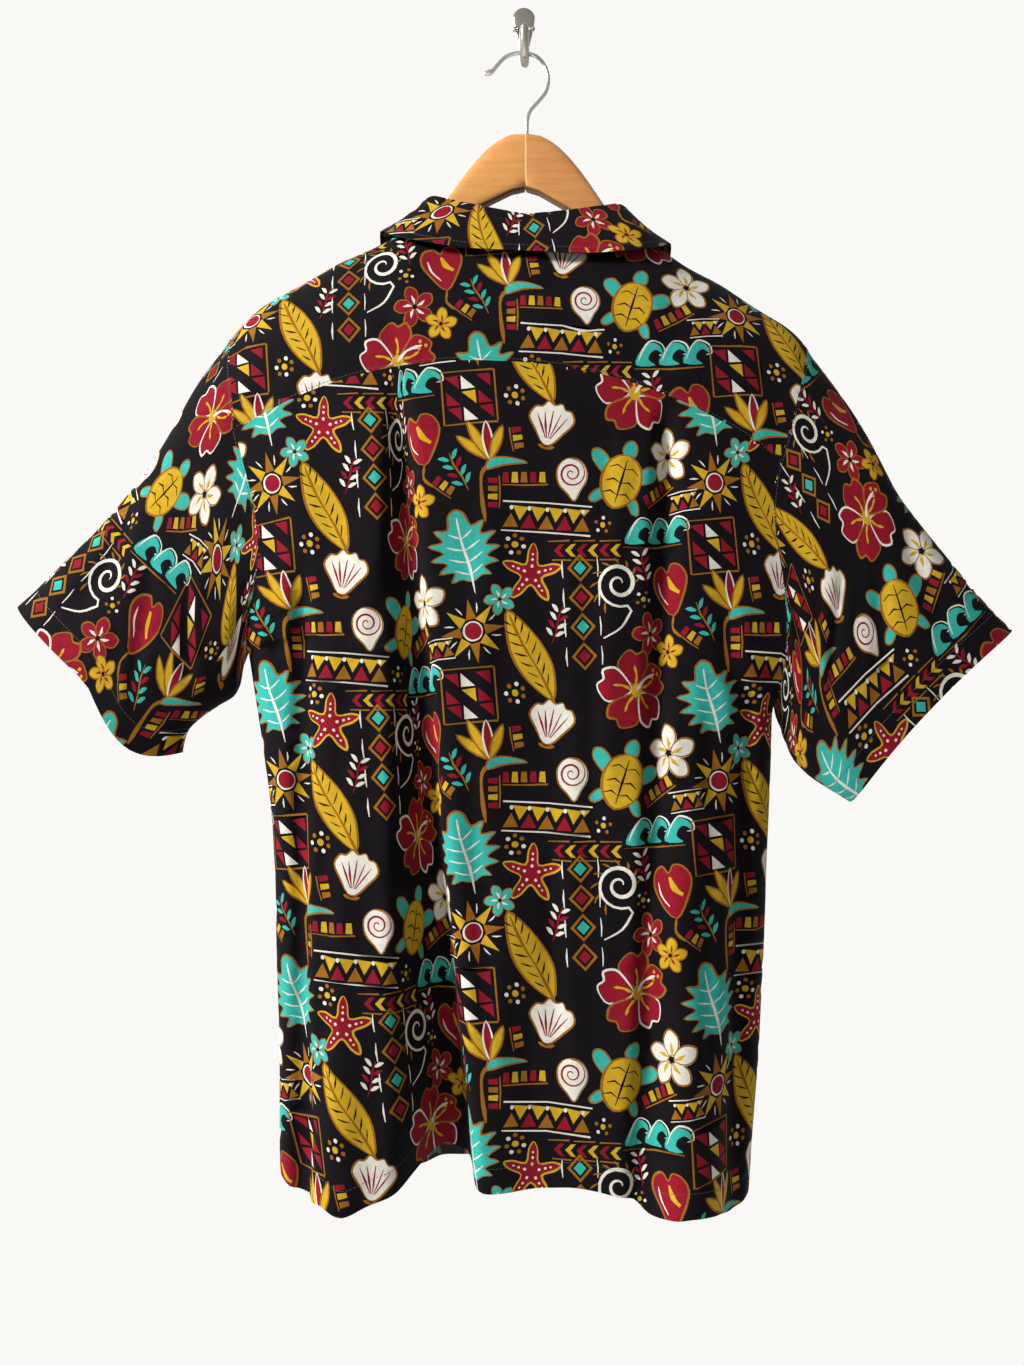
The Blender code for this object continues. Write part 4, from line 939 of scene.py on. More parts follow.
def crease_depth(rows, u, v):
    """How deep the small creases of a table are at places on the cloth."""
    depth = np.zeros_like(u)
    for u0, v0, u1, v1, wide, deep in zip(*rows.values()):
        way = np.array([u1 - u0, v1 - v0])
        span = np.linalg.norm(way)
        way /= span
        at = ((u - u0) * way[0] + (v - v0) * way[1]) / span
        sway = CREASE_SWAY * np.sin(7 * at + u0 * 90)
        off = abs((u - u0) * way[1] - (v - v0) * way[0] + sway)
        ends = smooth(at / CREASE_END) * smooth((1 - at) / CREASE_END)
        depth += deep * ends * np.exp(-(off / wide) ** 2)
        depth -= BANK_HIGH * deep * ends * np.exp(-((off - BANK_OFF * wide) / wide) ** 2)
    return depth


def ripple(u, v):
    """The slight unevenness of hanging cloth, mostly running down it."""
    return (0.0007 * np.sin(61 * u + 5 * np.sin(6 * v + 1)) * np.sin(7 * v + 9 * u)
            + 0.0005 * np.sin(118 * u + 3 * v + 2 * np.sin(19 * v))
            + 0.0004 * np.sin(47 * v + 4 * np.sin(31 * u)))


# ---------------------------------------------------------------- panels
SAME_POINT = 1e-5  # points of two panels closer than this are one


class Panel:
    """A grid of the cloth's outer side with its normals and its cloth coordinates."""

    def __init__(self, name, grid, flip, ring=False, turned_over=False):
        self.name, self.ring = name, ring
        self.sign = -1 if flip else 1
        self.turned_over = turned_over
        self.grid = grid

    def find_normals(self):
        down, across = np.gradient(self.grid, axis=0), np.gradient(self.grid, axis=1)
        if self.ring:
            across[:, 0] = across[:, -1] = (self.grid[:, 1] - self.grid[:, -2]) / 2
        normals = np.cross(across, down) * self.sign
        self.normals = normals / np.maximum(
            np.linalg.norm(normals, axis=2, keepdims=True), 1e-12)

    def border(self):
        rows, columns = self.grid.shape[:2]
        return ([(0, j) for j in range(columns)] + [(rows - 1, j) for j in range(columns)]
                + [(i, j) for i in range(rows) for j in (0, columns - 1)])

    def sample(self, i, j):
        """Points and normals at places between the rows and columns."""
        rows, columns = self.grid.shape[:2]
        a, b = np.minimum(i.astype(int), rows - 2), np.minimum(j.astype(int), columns - 2)
        x, y = (j - b)[:, None], (i - a)[:, None]
        return [lerp(lerp(g[a, b], g[a, b + 1], x), lerp(g[a + 1, b], g[a + 1, b + 1], x), y)
                for g in (self.grid, self.normals)]

    def settle(self):
        """Puts the printed side on the grid, in the reading direction of the print."""
        if self.turned_over:
            self.grid = self.grid - self.normals * CLOTH
            self.normals = -self.normals
            self.sign = -self.sign
        if self.sign > 0:
            for name in ("grid", "normals", "across", "down"):
                setattr(self, name, getattr(self, name)[:, ::-1])
            self.across = -self.across


def share_normals(panels):
    """Gives panels that meet along a seam the same normals there."""
    sums = {}
    for p in panels:
        p.find_normals()
        for i, j in set(p.border()):
            key = tuple(np.round(p.grid[i, j] / SAME_POINT).astype(int))
            sums[key] = sums.get(key, 0) + p.normals[i, j]
    for p in panels:
        for i, j in p.border():
            n = sums[tuple(np.round(p.grid[i, j] / SAME_POINT).astype(int))]
            p.normals[i, j] = n / np.linalg.norm(n)


def crease(p, rows, u, v, strength=1.0):
    """Pushes the small creases and ripples into a panel, away from its seams."""
    run, fall = lengths(p.grid, 1), lengths(p.grid, 0)
    inset = np.minimum(fall, fall[-1:] - fall)
    if not p.ring:
        inset = np.minimum(inset, np.minimum(run, run[:, -1:] - run))
    depth = (crease_depth(rows, u, v) - ripple(u, v)) * strength
    p.grid = p.grid - p.normals * (depth * smooth(inset / TAPER))[:, :, None]


# ---------------------------------------------------------------- the print in the cloth
PAST_EDGE = 12.0  # steps of the grid over which the print is followed past its edges
REPEATS = range(-8, 9)  # as many as can reach any piece
MOTIF_REACH, REPEAT_REACH = 70, 60  # millimetres a motif and a repeat can stick out
SMALLEST = 1e-12  # square metres; thinner triangles are left out


def matching(rows, values):
    """For each row of rising numbers, the place where it reaches its value."""
    last = rows.shape[1] - 2
    i = np.clip((rows < values[:, None]).sum(axis=1) - 1, 0, last)
    n = np.arange(len(rows))
    low, high = rows[n, i], rows[n, i + 1]
    return i + (values - low) / np.maximum(high - low, 1e-9)


def blend_rows(array, at):
    """Rows at places between those of an array."""
    i = np.clip(at.astype(int), 0, len(array) - 2)
    return lerp(array[i], array[i + 1], (at - i)[:, None])


def to_grid(p, s, t):
    """Grid places, row and column, of points given in cloth coordinates."""
    across, down = p.across, p.down

    def widen(a, axis):
        first, second = np.take(a, [0], axis), np.take(a, [1], axis)
        last, before = np.take(a, [-1], axis), np.take(a, [-2], axis)
        return np.concatenate([first - (second - first) * PAST_EDGE, a,
                               last + (last - before) * PAST_EDGE], axis=axis)

    def narrow(at, size):
        """From places in a widened array to places in the grid, and past its edges."""
        return np.where(at < 1, (at - 1) * PAST_EDGE, np.where(
            at > size, size - 1 + (at - size) * PAST_EDGE, at - 1))

    rows, columns = across.shape
    across_w, down_w = widen(across, 1), widen(down, 0)
    j = np.full(len(s), columns / 2)
    for _ in range(6):
        i = narrow(matching(blend_rows(down_w.T, np.clip(j, 0, columns - 1)), t), rows)
        j = narrow(matching(blend_rows(across_w, np.clip(i, 0, rows - 1)), s), columns)
    return i, j


def inside(points, polygon):
    """Which points lie in a polygon."""
    x, y = points[:, 0], points[:, 1]
    hit = np.zeros(len(points), bool)
    for (x0, y0), (x1, y1) in zip(polygon, np.roll(polygon, -1, axis=0)):
        if y0 != y1:
            hit ^= ((y0 > y) != (y1 > y)) & (x < x0 + (y - y0) * (x1 - x0) / (y1 - y0))
    return hit


def printed(p, start):
    """The print's outlines over a panel as (colour, points) in grid places times its steps."""
    low = np.array([p.across.min(), p.down.min()]) * 1000
    high = np.array([p.across.max(), p.down.max()]) * 1000
    shapes = []
    for column in REPEATS:
        for row in REPEATS:
            corner = np.array([column * REPEAT[0], (row + 0.5 * (column % 2)) * REPEAT[1]])
            corner = corner + start
            if ((corner > high + REPEAT_REACH).any()
                    or (corner + REPEAT < low - REPEAT_REACH).any()):
                continue
            for parts, x, y, degrees, size in LAYOUT:
                spot = corner + (x, y)
                if (spot < low - MOTIF_REACH).any() or (spot > high + MOTIF_REACH).any():
                    continue
                for colour, points in turned(parts, degrees, size):
                    shapes.append((colour, spot + points * (1, -1)))
    flat = np.concatenate([points for _, points in shapes]) / 1000
    i, j = to_grid(p, flat[:, 0], flat[:, 1])
    places = np.stack([j * p.step[0], i * p.step[1]], axis=1)
    size = (np.array(p.grid.shape[1::-1]) - 1) * p.step
    out, k = [], 0
    for colour, points in shapes:
        place = places[k:k + len(points)]
        k += len(points)
        if (place.max(axis=0) > 0).all() and (place.min(axis=0) < size).all():
            out.append((colour, place))
    return out


def shell(p, start, finishes, every):
    """The panel as one closed thin shell with the print cut into both its sides, on every
    so many rows of its grid."""
    rows, columns = p.grid.shape[:2]
    p.step = np.array([lengths(p.grid, 1)[:, -1].mean() / (columns - 1),
                       lengths(p.grid, 0)[-1].mean() / (rows - 1)])
    shapes = printed(p, np.array(start, float))
    border = ([(0, j) for j in range(columns)] + [(i, columns - 1) for i in range(1, rows)]
              + [(rows - 1, j) for j in range(columns - 2, -1, -1)]
              + [(i, 0) for i in range(rows - 2, 0, -1)])
    inner = [(i, j) for i in range(1, rows - 1, every) for j in range(1, columns - 1)]
    flat = [Vector((j * p.step[0], i * p.step[1])) for i, j in border + inner]
    edges = [(k, (k + 1) % len(border)) for k in range(len(border))]
    for _, points in shapes:
        first, count = len(flat), len(points)
        edges += [(first + k, first + (k + 1) % count) for k in range(count)]
        flat += [Vector(q) for q in points]
    flat, _, triangles = delaunay_2d_cdt(flat, edges, [], 0, 1e-7, False)[:3]
    flat, triangles = np.array(flat), np.array(triangles)
    middle = flat[triangles].mean(axis=1)
    size = np.array([columns - 1, rows - 1]) * p.step
    a, b, c = (flat[triangles[:, k]] for k in range(3))
    area = abs((b - a)[:, 0] * (c - a)[:, 1] - (b - a)[:, 1] * (c - a)[:, 0])
    keep = (middle > 0).all(axis=1) & (middle < size).all(axis=1) & (area > SMALLEST)
    triangles, middle = triangles[keep], middle[keep]
    used, triangles = np.unique(triangles, return_inverse=True)
    flat, triangles = flat[used], triangles.reshape(-1, 3)

    colours = np.zeros(len(triangles), int)
    order = np.argsort(middle[:, 0])
    sorted_x = middle[order, 0]
    for colour, points in shapes:
        first, last = np.searchsorted(sorted_x, (points[:, 0].min(), points[:, 0].max()))
        near = order[first:last]
        y = middle[near, 1]
        near = near[(y > points[:, 1].min()) & (y < points[:, 1].max())]
        if len(near):
            colours[near[inside(middle[near], points)]] = colour

    spots, normals = p.sample(np.clip(flat[:, 1] / p.step[1], 0, rows - 1),
                              np.clip(flat[:, 0] / p.step[0], 0, columns - 1))
    normals = unit(normals)

    count = len(spots)
    pairs = np.concatenate([triangles[:, (0, 1)], triangles[:, (1, 2)], triangles[:, (2, 0)]])
    known = set(map(tuple, pairs.tolist()))
    rim = np.array([(a, b) for a, b in known if (b, a) not in known])
    walls = np.concatenate([
        np.stack([rim[:, 1], rim[:, 0], rim[:, 0] + count], axis=1),
        np.stack([rim[:, 1], rim[:, 0] + count, rim[:, 1] + count], axis=1)])
    out = np.cross(spots[triangles[:, 1]] - spots[triangles[:, 0]],
                   spots[triangles[:, 2]] - spots[triangles[:, 0]])
    if (out * normals[triangles[:, 0]]).sum() < 0:
        triangles, walls = triangles[:, ::-1], walls[:, ::-1]
    every_face = np.concatenate([triangles, triangles[:, ::-1] + count, walls])
    made = add_mesh(p.name, np.concatenate([spots, spots - normals * SHELL]).tolist(),
                    every_face.tolist(), finishes)
    paint = np.concatenate([colours, colours + len(finishes) // 2,
                            np.full(len(walls), len(finishes) // 2)])
    made.data.polygons.foreach_set("material_index", paint)
    made.data.shade_smooth()
    made.data.normals_split_custom_set_from_vertices(
        np.concatenate([normals, -normals]).tolist())
    return made


# ---------------------------------------------------------------- materials
INK_LEVEL = 0.62  # of the colours as they look under the studio's light


def linear(*rgb):
    """A colour from screen values of 0 to 255."""
    c = np.array(rgb) / 255
    return (*(np.where(c <= 0.04045, c / 12.92, ((c + 0.055) / 1.055) ** 2.4) * INK_LEVEL), 1)


INKS = [linear(*rgb) for rgb in ((21, 17, 21), (150, 24, 42), (214, 172, 38), (160, 104, 28),
                                 (60, 186, 172), (240, 236, 222))]
THREADS = 340  # waves a metre of the weave
INK_THROUGH, REVERSE_PALER = 0.45, 0.02  # how much the print shows on the cloth's other side
MITRE_HALF = 0.0006  # half the width of the pale line of glue where the arms meet
MITRE_TONE = (0.74, 0.44, 0.20, 1)
# Painted reflections on plated metal: place from where a face turns to the eye (0) to its rim (1),
# and the tone multiplied in there.
PAINTED_REFLECTION_BANDS = ((0.0, 1.0), (0.22, 0.95), (0.46, 0.45), (0.72, 0.85), (1.0, 0.25))


class Nodes:
    """A short way to add and link shader nodes."""

    def __init__(self, name):
        self.material = bpy.data.materials.new(name)
        self.material.use_nodes = True
        self.tree = self.material.node_tree
        self.where = self.add("TexCoord").outputs["Object"]

    def add(self, kind, **values):
        node = self.tree.nodes.new("ShaderNode" + kind)
        for name, value in values.items():
            if name in node.bl_rna.properties:
                setattr(node, name, value)
            else:
                self.put(node, name.replace("_", " "), value)
        return node

    def put(self, node, name, value):
        socket = node.inputs[name] if isinstance(name, int) else next(
            s for s in node.inputs if s.name == name and s.enabled)
        if isinstance(value, bpy.types.NodeSocket):
            self.tree.links.new(value, socket)
        else:
            socket.default_value = value

    def noise(self, scale, detail, where=None, **values):
        return self.add("TexNoise", Vector=where or self.where, Scale=scale, Detail=detail,
                        **values).outputs["Fac"]

    def math(self, operation, *terms):
        node = self.add("Math", operation=operation)
        for k, term in enumerate(terms):
            self.put(node, k, term)
        return node.outputs[0]

    def mix(self, a, b, share=1.0, blend_type="MULTIPLY"):
        node = self.add("Mix", data_type="RGBA", blend_type=blend_type, Factor=share)
        self.put(node, 6, a)
        self.put(node, 7, b)
        return node.outputs[2]

    def ramp(self, fac, *stops, curve="LINEAR"):
        """A colour ramp through stops of a place and a red, green and blue."""
        ramp = self.add("ValToRGB", Fac=fac)
        keys = ramp.color_ramp.elements
        for k, (at, rgb) in enumerate(stops):
            key = keys[0] if k == 0 else keys[-1] if k == len(stops) - 1 else keys.new(at)
            key.position, key.color = at, (*rgb, 1)
        ramp.color_ramp.interpolation = curve
        return ramp.outputs["Color"]

    def bump(self, strength, distance, height, **values):
        return self.add("Bump", Strength=strength, Distance=distance, Height=height,
                        **values).outputs["Normal"]

    def finish(self, **values):
        for name, value in values.items():
            self.put(self.tree.nodes["Principled BSDF"], name.replace("_", " "), value)
        return self.material


def cloth_finish(name, ink, reverse=False):
    """Printed rayon: a fine weave, slightly uneven ink and a soft sheen."""
    m = Nodes(name)
    warp, weft = (m.add("TexWave", bands_direction=way, Vector=m.where, Scale=THREADS,
                        Distortion=1.2, Detail=2.0).outputs["Fac"] for way in "XZ")
    uneven, cloudy = m.noise(210.0, 4.0, Roughness=0.7), m.noise(9.0, 3.0)
    base = np.array(ink[:3])
    if reverse:
        base = lerp(np.array(INKS[GROUND][:3]), base, INK_THROUGH) + REVERSE_PALER
    colour = m.ramp(m.math("MULTIPLY", uneven, cloudy), (0.10, base * 0.80),
                    (0.42, np.minimum(base * 1.14, 1)))
    weave = m.bump(0.22, 0.0004, m.math("MULTIPLY", warp, weft))
    return m.finish(Base_Color=colour, Roughness=0.80, Sheen_Weight=0.02, Sheen_Roughness=0.45,
                    Specular_IOR_Level=0.05, Normal=m.bump(0.25, 0.002, cloudy, Normal=weave))


def wood_finish(name, turn, light, dark, low):
    """Varnished beech: fine grain along the arm, short darker flecks, and painted shade on its
    underside down to the tone low.
    """
    m = Nodes(name)
    laid = m.add("Mapping", Vector=m.where, Rotation=(0, math.radians(turn), 0),
                 Scale=(9, 90, 90)).outputs["Vector"]
    grain = m.noise(2.2, 6.0, laid, Roughness=0.6, Distortion=0.4)
    flecks = m.ramp(m.noise(14.0, 2.0, laid), (0.28, (0.84, 0.76, 0.70)), (0.40, (1, 1, 1)))
    wood = m.mix(m.ramp(grain, (0.34, dark), (0.68, light)), flecks, 0.8)
    # Painted shade: faces turned downwards are darkened down to the tone low, and the varnish's
    # coat follows the same mask.
    facing = m.add("NewGeometry").outputs["Normal"]
    painted_under_shade = m.add("MapRange", Value=m.add("SeparateXYZ", Vector=facing).outputs["Z"],
                  From_Min=-0.75, From_Max=-0.45, To_Min=low, To_Max=1.0).outputs["Result"]
    aside = m.math("SUBTRACT", m.add("SeparateXYZ", Vector=m.where).outputs["X"], MIDDLE_X)
    colour = m.mix(m.mix(wood, painted_under_shade), MITRE_TONE, m.math("COMPARE", aside, 0.0, MITRE_HALF),
                   "MIX")
    varnish = m.math("MULTIPLY", painted_under_shade, 0.35)
    return m.finish(Base_Color=colour, Roughness=0.40, Coat_Weight=varnish, Coat_Roughness=0.25,
                    Specular_IOR_Level=varnish, Normal=m.bump(0.12, 0.0004, grain))


def metal_finish(name, colour, rough, wear=0.1):
    """Plated metal, slightly patchy, with painted reflections: tones that change from where it
    faces the eye to its rim.
    """
    m = Nodes(name)
    patchy, colour = m.noise(60.0, 5.0), np.array(colour)
    # Painted reflections: tone by how far each face turns from the eye.
    painted_reflections = m.ramp(m.add("LayerWeight", Blend=0.5).outputs["Facing"],
                   *[(at, [tone] * 3) for at, tone in PAINTED_REFLECTION_BANDS], curve="B_SPLINE")
    level = m.add("MapRange", Value=patchy, To_Min=rough * 0.7, To_Max=rough * 1.4)
    return m.finish(
        Base_Color=m.mix(m.ramp(patchy, (0.3, colour * (1 - wear)), (0.7, colour)), painted_reflections),
        Roughness=level.outputs["Result"], Metallic=0.82, Normal=m.bump(0.08, 0.0003, patchy))


def plain_finish(name, colour, rough, coat=0.0, scale=300.0):
    """One slightly uneven colour."""
    m = Nodes(name)
    noise, colour = m.noise(scale, 3.0), np.array(colour)
    return m.finish(Base_Color=m.ramp(noise, (0, colour * 0.75), (1, np.minimum(1, colour * 1.2))),
                    Roughness=rough, Coat_Weight=coat, Normal=m.bump(0.1, 0.0002, noise))


# ---------------------------------------------------------------- sewing
STITCH, STITCH_STEP, STITCH_WIDE = 0.0022, 0.0031, 0.00042
STITCH_HIGH = 0.55  # of its width
BEAD = ((0, 0.1), (0.25, 1.0), (0.75, 1.0), (1, 0.1))  # share of its length, of its height
# How far the lines of stitches lie from their edges.
ON_SEAM, ON_HEM, ON_CUFF, ON_COLLAR, ON_FRONT = 0.0022, 0.020, 0.021, 0.0055, 0.005


def edge_line(p, edge, distance, share=(0.0, 1.0)):
    """Points and normals along a panel, at a distance from one of its edges."""
    run, fall = lengths(p.grid, 1), lengths(p.grid, 0)
    rows, columns = p.grid.shape[:2]
    if edge in ("top", "bottom"):
        j = np.arange(columns)
        goal = np.full(columns, distance) if edge == "top" else fall[-1] - distance
        i = matching(fall.T, goal)
    else:
        i = np.arange(rows)
        goal = np.full(rows, distance) if edge == "start" else run[:, -1] - distance
        j = matching(run, goal)
    spots, normals = p.sample(i, j)
    first, last = (int(round(s * (len(spots) - 1))) for s in share)
    return spots[first:last + 1], normals[first:last + 1]


def stitches(name, lines, finish):
    """Machine stitches along lines on the cloth, each a small rounded bead of thread."""
    points, faces = [], []
    for spots, normals in lines:
        run = distances(spots)
        for at in np.arange(STITCH_STEP / 2, run[-1] - STITCH, STITCH_STEP):
            a, b = (at_run(d, run, spots) for d in (at, at + STITCH))
            n = at_run(at, run, normals)
            n /= np.linalg.norm(n)
            way = (b - a) / max(np.linalg.norm(b - a), 1e-9)
            side = np.cross(way, n) * STITCH_WIDE / 2
            base = len(points)
            high = n * STITCH_WIDE * STITCH_HIGH
            for share, lift in BEAD:
                q = lerp(a, b, share)
                points += [q - side, q + high * lift, q + side]
            for k in (0, 3, 6):
                faces += [(base + k, base + k + 1, base + k + 4, base + k + 3),
                          (base + k + 1, base + k + 2, base + k + 5, base + k + 4)]
    made = add_mesh(name, points, faces, [finish])
    made.data.shade_smooth()
    return made


# ---------------------------------------------------------------- hanger and hooks
SHARP = 38  # degrees, from where an edge of the wood and metal shows as one


def swept(name, rings, finish):
    """A tube through rings of points, with flat ends."""
    rings = np.array(rings)
    rows, sides = rings.shape[:2]
    faces = [(i * sides + j, i * sides + (j + 1) % sides, (i + 1) * sides + (j + 1) % sides,
              (i + 1) * sides + j) for i in range(rows - 1) for j in range(sides)]
    faces += [tuple(range(sides))[::-1], tuple((rows - 1) * sides + k for k in range(sides))]
    made = add_mesh(name, rings.reshape(-1, 3).tolist(), faces, [finish])
    mesh, shape = made.data, bmesh.new()
    shape.from_mesh(mesh)
    bmesh.ops.recalc_face_normals(shape, faces=shape.faces)
    shape.to_mesh(mesh)
    shape.free()
    mesh.shade_smooth()
    mesh.set_sharp_from_angle(angle=math.radians(SHARP))
    return made


UPPER_SQUARE, LOWER_SQUARE = 0.65, 0.36  # 1 is a round edge of the wood, less is squarer
VEE_TOP, VEE_SLOPE = -0.1447, 0.56  # the straight inner edges that meet in the middle
ARM_STATIONS, ARM_SIDES = 40, 40
END_CLOSE, END_REACH = 0.28, 0.008  # the arm's end is rounded by this share over this length
# Where the arms meet: their first two sections, and how much the first one is eased.
JOINT_OUT, JOINT_CLOSE = (-0.0005, 0.0007), 0.985


def wood_arm(name, side, finish):
    """Half of the hanger: its arm from the mitred joint in the middle to its rounded end."""
    turn = circle(ARM_SIDES) + np.pi / ARM_SIDES
    rings = []
    for k in range(ARM_STATIONS + 1):
        out = HANGER_END * k / ARM_STATIONS
        top, bottom, thick = (read(HANGER, n, "out", out) for n in ("top", "bottom", "thick"))
        bottom = max(bottom, VEE_TOP - VEE_SLOPE * out)
        close = 1 - END_CLOSE * smooth((out - HANGER_END + END_REACH) / END_REACH) ** 2
        if k == 0:
            close = JOINT_CLOSE
        if k < len(JOINT_OUT):
            out = JOINT_OUT[k]
        tall = (top - bottom) / 2 * close
        y = HANG_Y + SWEEP * (out / HANGER_END) ** 2
        square = np.where(np.cos(turn) < 0, LOWER_SQUARE, UPPER_SQUARE)
        across = squared(np.sin(turn), square) * thick / 2 * close
        up = squared(np.cos(turn), square) * tall
        x = np.full(ARM_SIDES, MIDDLE_X + side * out)
        rings.append(np.stack([x, y + across, (top + bottom) / 2 - side * out * TILT + up],
                              axis=1))
    return swept(name, rings, finish)


WIRE_SIDES = 20
DOME = ((0.95, 0.15), (0.75, 0.65), (0.4, 0.92))  # of a wire's end: how far out, how wide


def wire(name, line, radii, finish, fixed=False):
    """A round wire along a line, its ends closed by small domes, unless its start is fixed."""
    line = np.array(line)
    way, turn = unit(np.gradient(line, axis=0)), circle(WIRE_SIDES)
    side = unit(np.cross(way, (0, 1, 0) if abs(way[:, 1]).max() < 0.9 else (1, 0, 0)))
    up = np.cross(side, way)
    rings = [q + r * (np.cos(turn)[:, None] * side[k] + np.sin(turn)[:, None] * up[k])
             for k, (q, r) in enumerate(zip(line, radii))]
    first = [] if fixed else [line[0] - way[0] * radii[0] * b + (rings[0] - line[0]) * c
                              for b, c in DOME]
    last = [line[-1] + way[-1] * radii[-1] * b + (rings[-1] - line[-1]) * c
            for b, c in DOME[::-1]]
    return swept(name, first + rings + last, finish)


PLATE_SIDES, PLATE_NARROWS = 96, 0.42  # its lower end is narrower by this share
# The plate's edge from the wall outwards: y, and how far in it lies.
PLATE_EDGE = ((0, 0.0), (-0.0012, 0.0), (-0.0018, 0.0003), (-0.0022, 0.0009),
              (-0.0025, 0.0018), (-0.0028, 0.0034), (-PLATE_THICK, 0.0056))


def hook_plate(name, finish):
    """The drop-shaped plate of the wall hook with softened edges."""
    turn, middle = circle(PLATE_SIDES), PLATE_TOP - PLATE_HALF
    narrow = PLATE_HALF * (1 - PLATE_NARROWS * smooth((-np.cos(turn) + 0.2) / 1.2))
    up = np.where(np.cos(turn) < 0, middle - PLATE_LOW, PLATE_HALF) * np.cos(turn)
    rings = []
    for y, inset in PLATE_EDGE:
        shrink = 1 - inset / PLATE_HALF
        rings.append(np.stack([narrow * np.sin(turn) * shrink, np.full(PLATE_SIDES, y),
                               middle + up * shrink], axis=1))
    return swept(name, rings, finish)


# A screw head's radius and height, from its rim to its middle, and its slot.
SCREW_HEAD = ((0.0027, 0.0), (0.00265, 0.0003), (0.0022, 0.0008), (0.0016, 0.00112),
              (0.0009, 0.0013), (0.0002, 0.00138))
SLOT_REACH, SLOT_HALF, SLOT_DEEP = 0.0025, 0.00035, 0.0007


def screw_head(name, x, z, angle, finish):
    """A domed slotted screw head."""
    turn, rings = circle(48), []
    for r, high in SCREW_HEAD:
        slot = (abs(r * np.sin(turn)) < SLOT_HALF) & (r < SLOT_REACH)
        rings.append(np.stack([x + r * np.cos(turn + angle),
                               -PLATE_THICK - SEAM_GAP - high + SLOT_DEEP * slot,
                               z + r * np.sin(turn + angle)], axis=1))
    return swept(name, rings, finish)


# ---------------------------------------------------------------- dressing the solids
BUTTON_RADIUS, BUTTON_THICK = 0.00575, 0.0024
BUTTON_TOP, BUTTON_STEP, BUTTON_COUNT = -0.352, 0.112, 5


# A button from inside its dish over its rim to its back: shares of its radius and thickness.
BUTTON_FORM = ((0.30, 0.55), (0.55, 0.56), (0.64, 0.72), (0.72, 0.93), (0.82, 1.0), (0.92, 0.95),
               (0.98, 0.78), (1.0, 0.5), (0.9, 0.16), (0.75, 0.0), (0.2, 0.0))
THREAD_REACH, THREAD_HALF, THREAD_HIGH = 0.0012, 0.00014, 0.0003
THREAD_STEPS, THREAD_BASE, THREAD_RISE = 8, 0.55, 0.42  # the last two of the button's thickness


def button(name, z, finish, thread):
    """A dished button with crossed thread in its middle, facing the wall."""
    turn, y = circle(48), FRONT_Y[-1] + SEAM_GAP
    rings = [np.stack([COLLAR_X + BUTTON_RADIUS * a * np.cos(turn),
                       np.full(len(turn), y + BUTTON_THICK * h),
                       z + BUTTON_RADIUS * a * np.sin(turn)], axis=1) for a, h in BUTTON_FORM]
    made = swept(name, rings, finish)
    points, faces = [], []
    for way in (1, -1):
        side = np.array([-way, 0, 1]) * 2 * THREAD_HALF
        for k in range(THREAD_STEPS + 1):
            u = k / THREAD_STEPS
            high = THREAD_BASE + THREAD_RISE * math.sin(math.pi * u)
            off = THREAD_REACH * (2 * u - 1)
            spot = np.array([COLLAR_X + off, y + BUTTON_THICK * high, z + off * way])
            points += [spot - side, spot + (0, THREAD_HIGH, 0), spot + side]
            if k:
                b = len(points) - 6
                faces += [(b, b + 1, b + 4, b + 3), (b + 1, b + 2, b + 5, b + 4)]
    cross = add_mesh(name + "_thread", points, faces, [thread])
    cross.data.shade_smooth()
    return made, cross


# Start of the print's repeat on each piece, in millimetres, its cut, the area of that, and what
# it hangs from.
CUTS = {
    "back": ((20, 290), (0.545, 0.655), 0.305, "shirt_yoke"),
    "yoke": ((64, 148), (0.625, 0.170), 0.066, "hanger_body"),
    "front_left": ((-30, 180), (0.272, 0.805), 0.178, "shirt_yoke"),
    "front_right": ((96, 230), (0.272, 0.800), 0.168, "shirt_yoke"),
    "sleeve_left": ((30, -260), (0.570, 0.286), 0.079, "shirt_yoke"),
    "sleeve_right": ((104, -300), (0.640, 0.288), 0.085, "shirt_yoke"),
    "collar": ((12, 60), (0.440, 0.088), 0.029, "shirt_yoke"),
    "lapel_left": ((0, 240), (0.055, 0.123), 0.0036, "shirt_front_left"),
    "lapel_right": ((40, 240), (0.055, 0.070), 0.0029, "shirt_front_right"),
}


# Pieces whose rows and columns run the other way round on the outer side.
FLIPPED = ("back", "yoke", "front_right", "sleeve_right", "lapel_right")
YOKE_SPREAD = 1.06  # its cloth runs down over the shoulders, so it is longer than it is wide


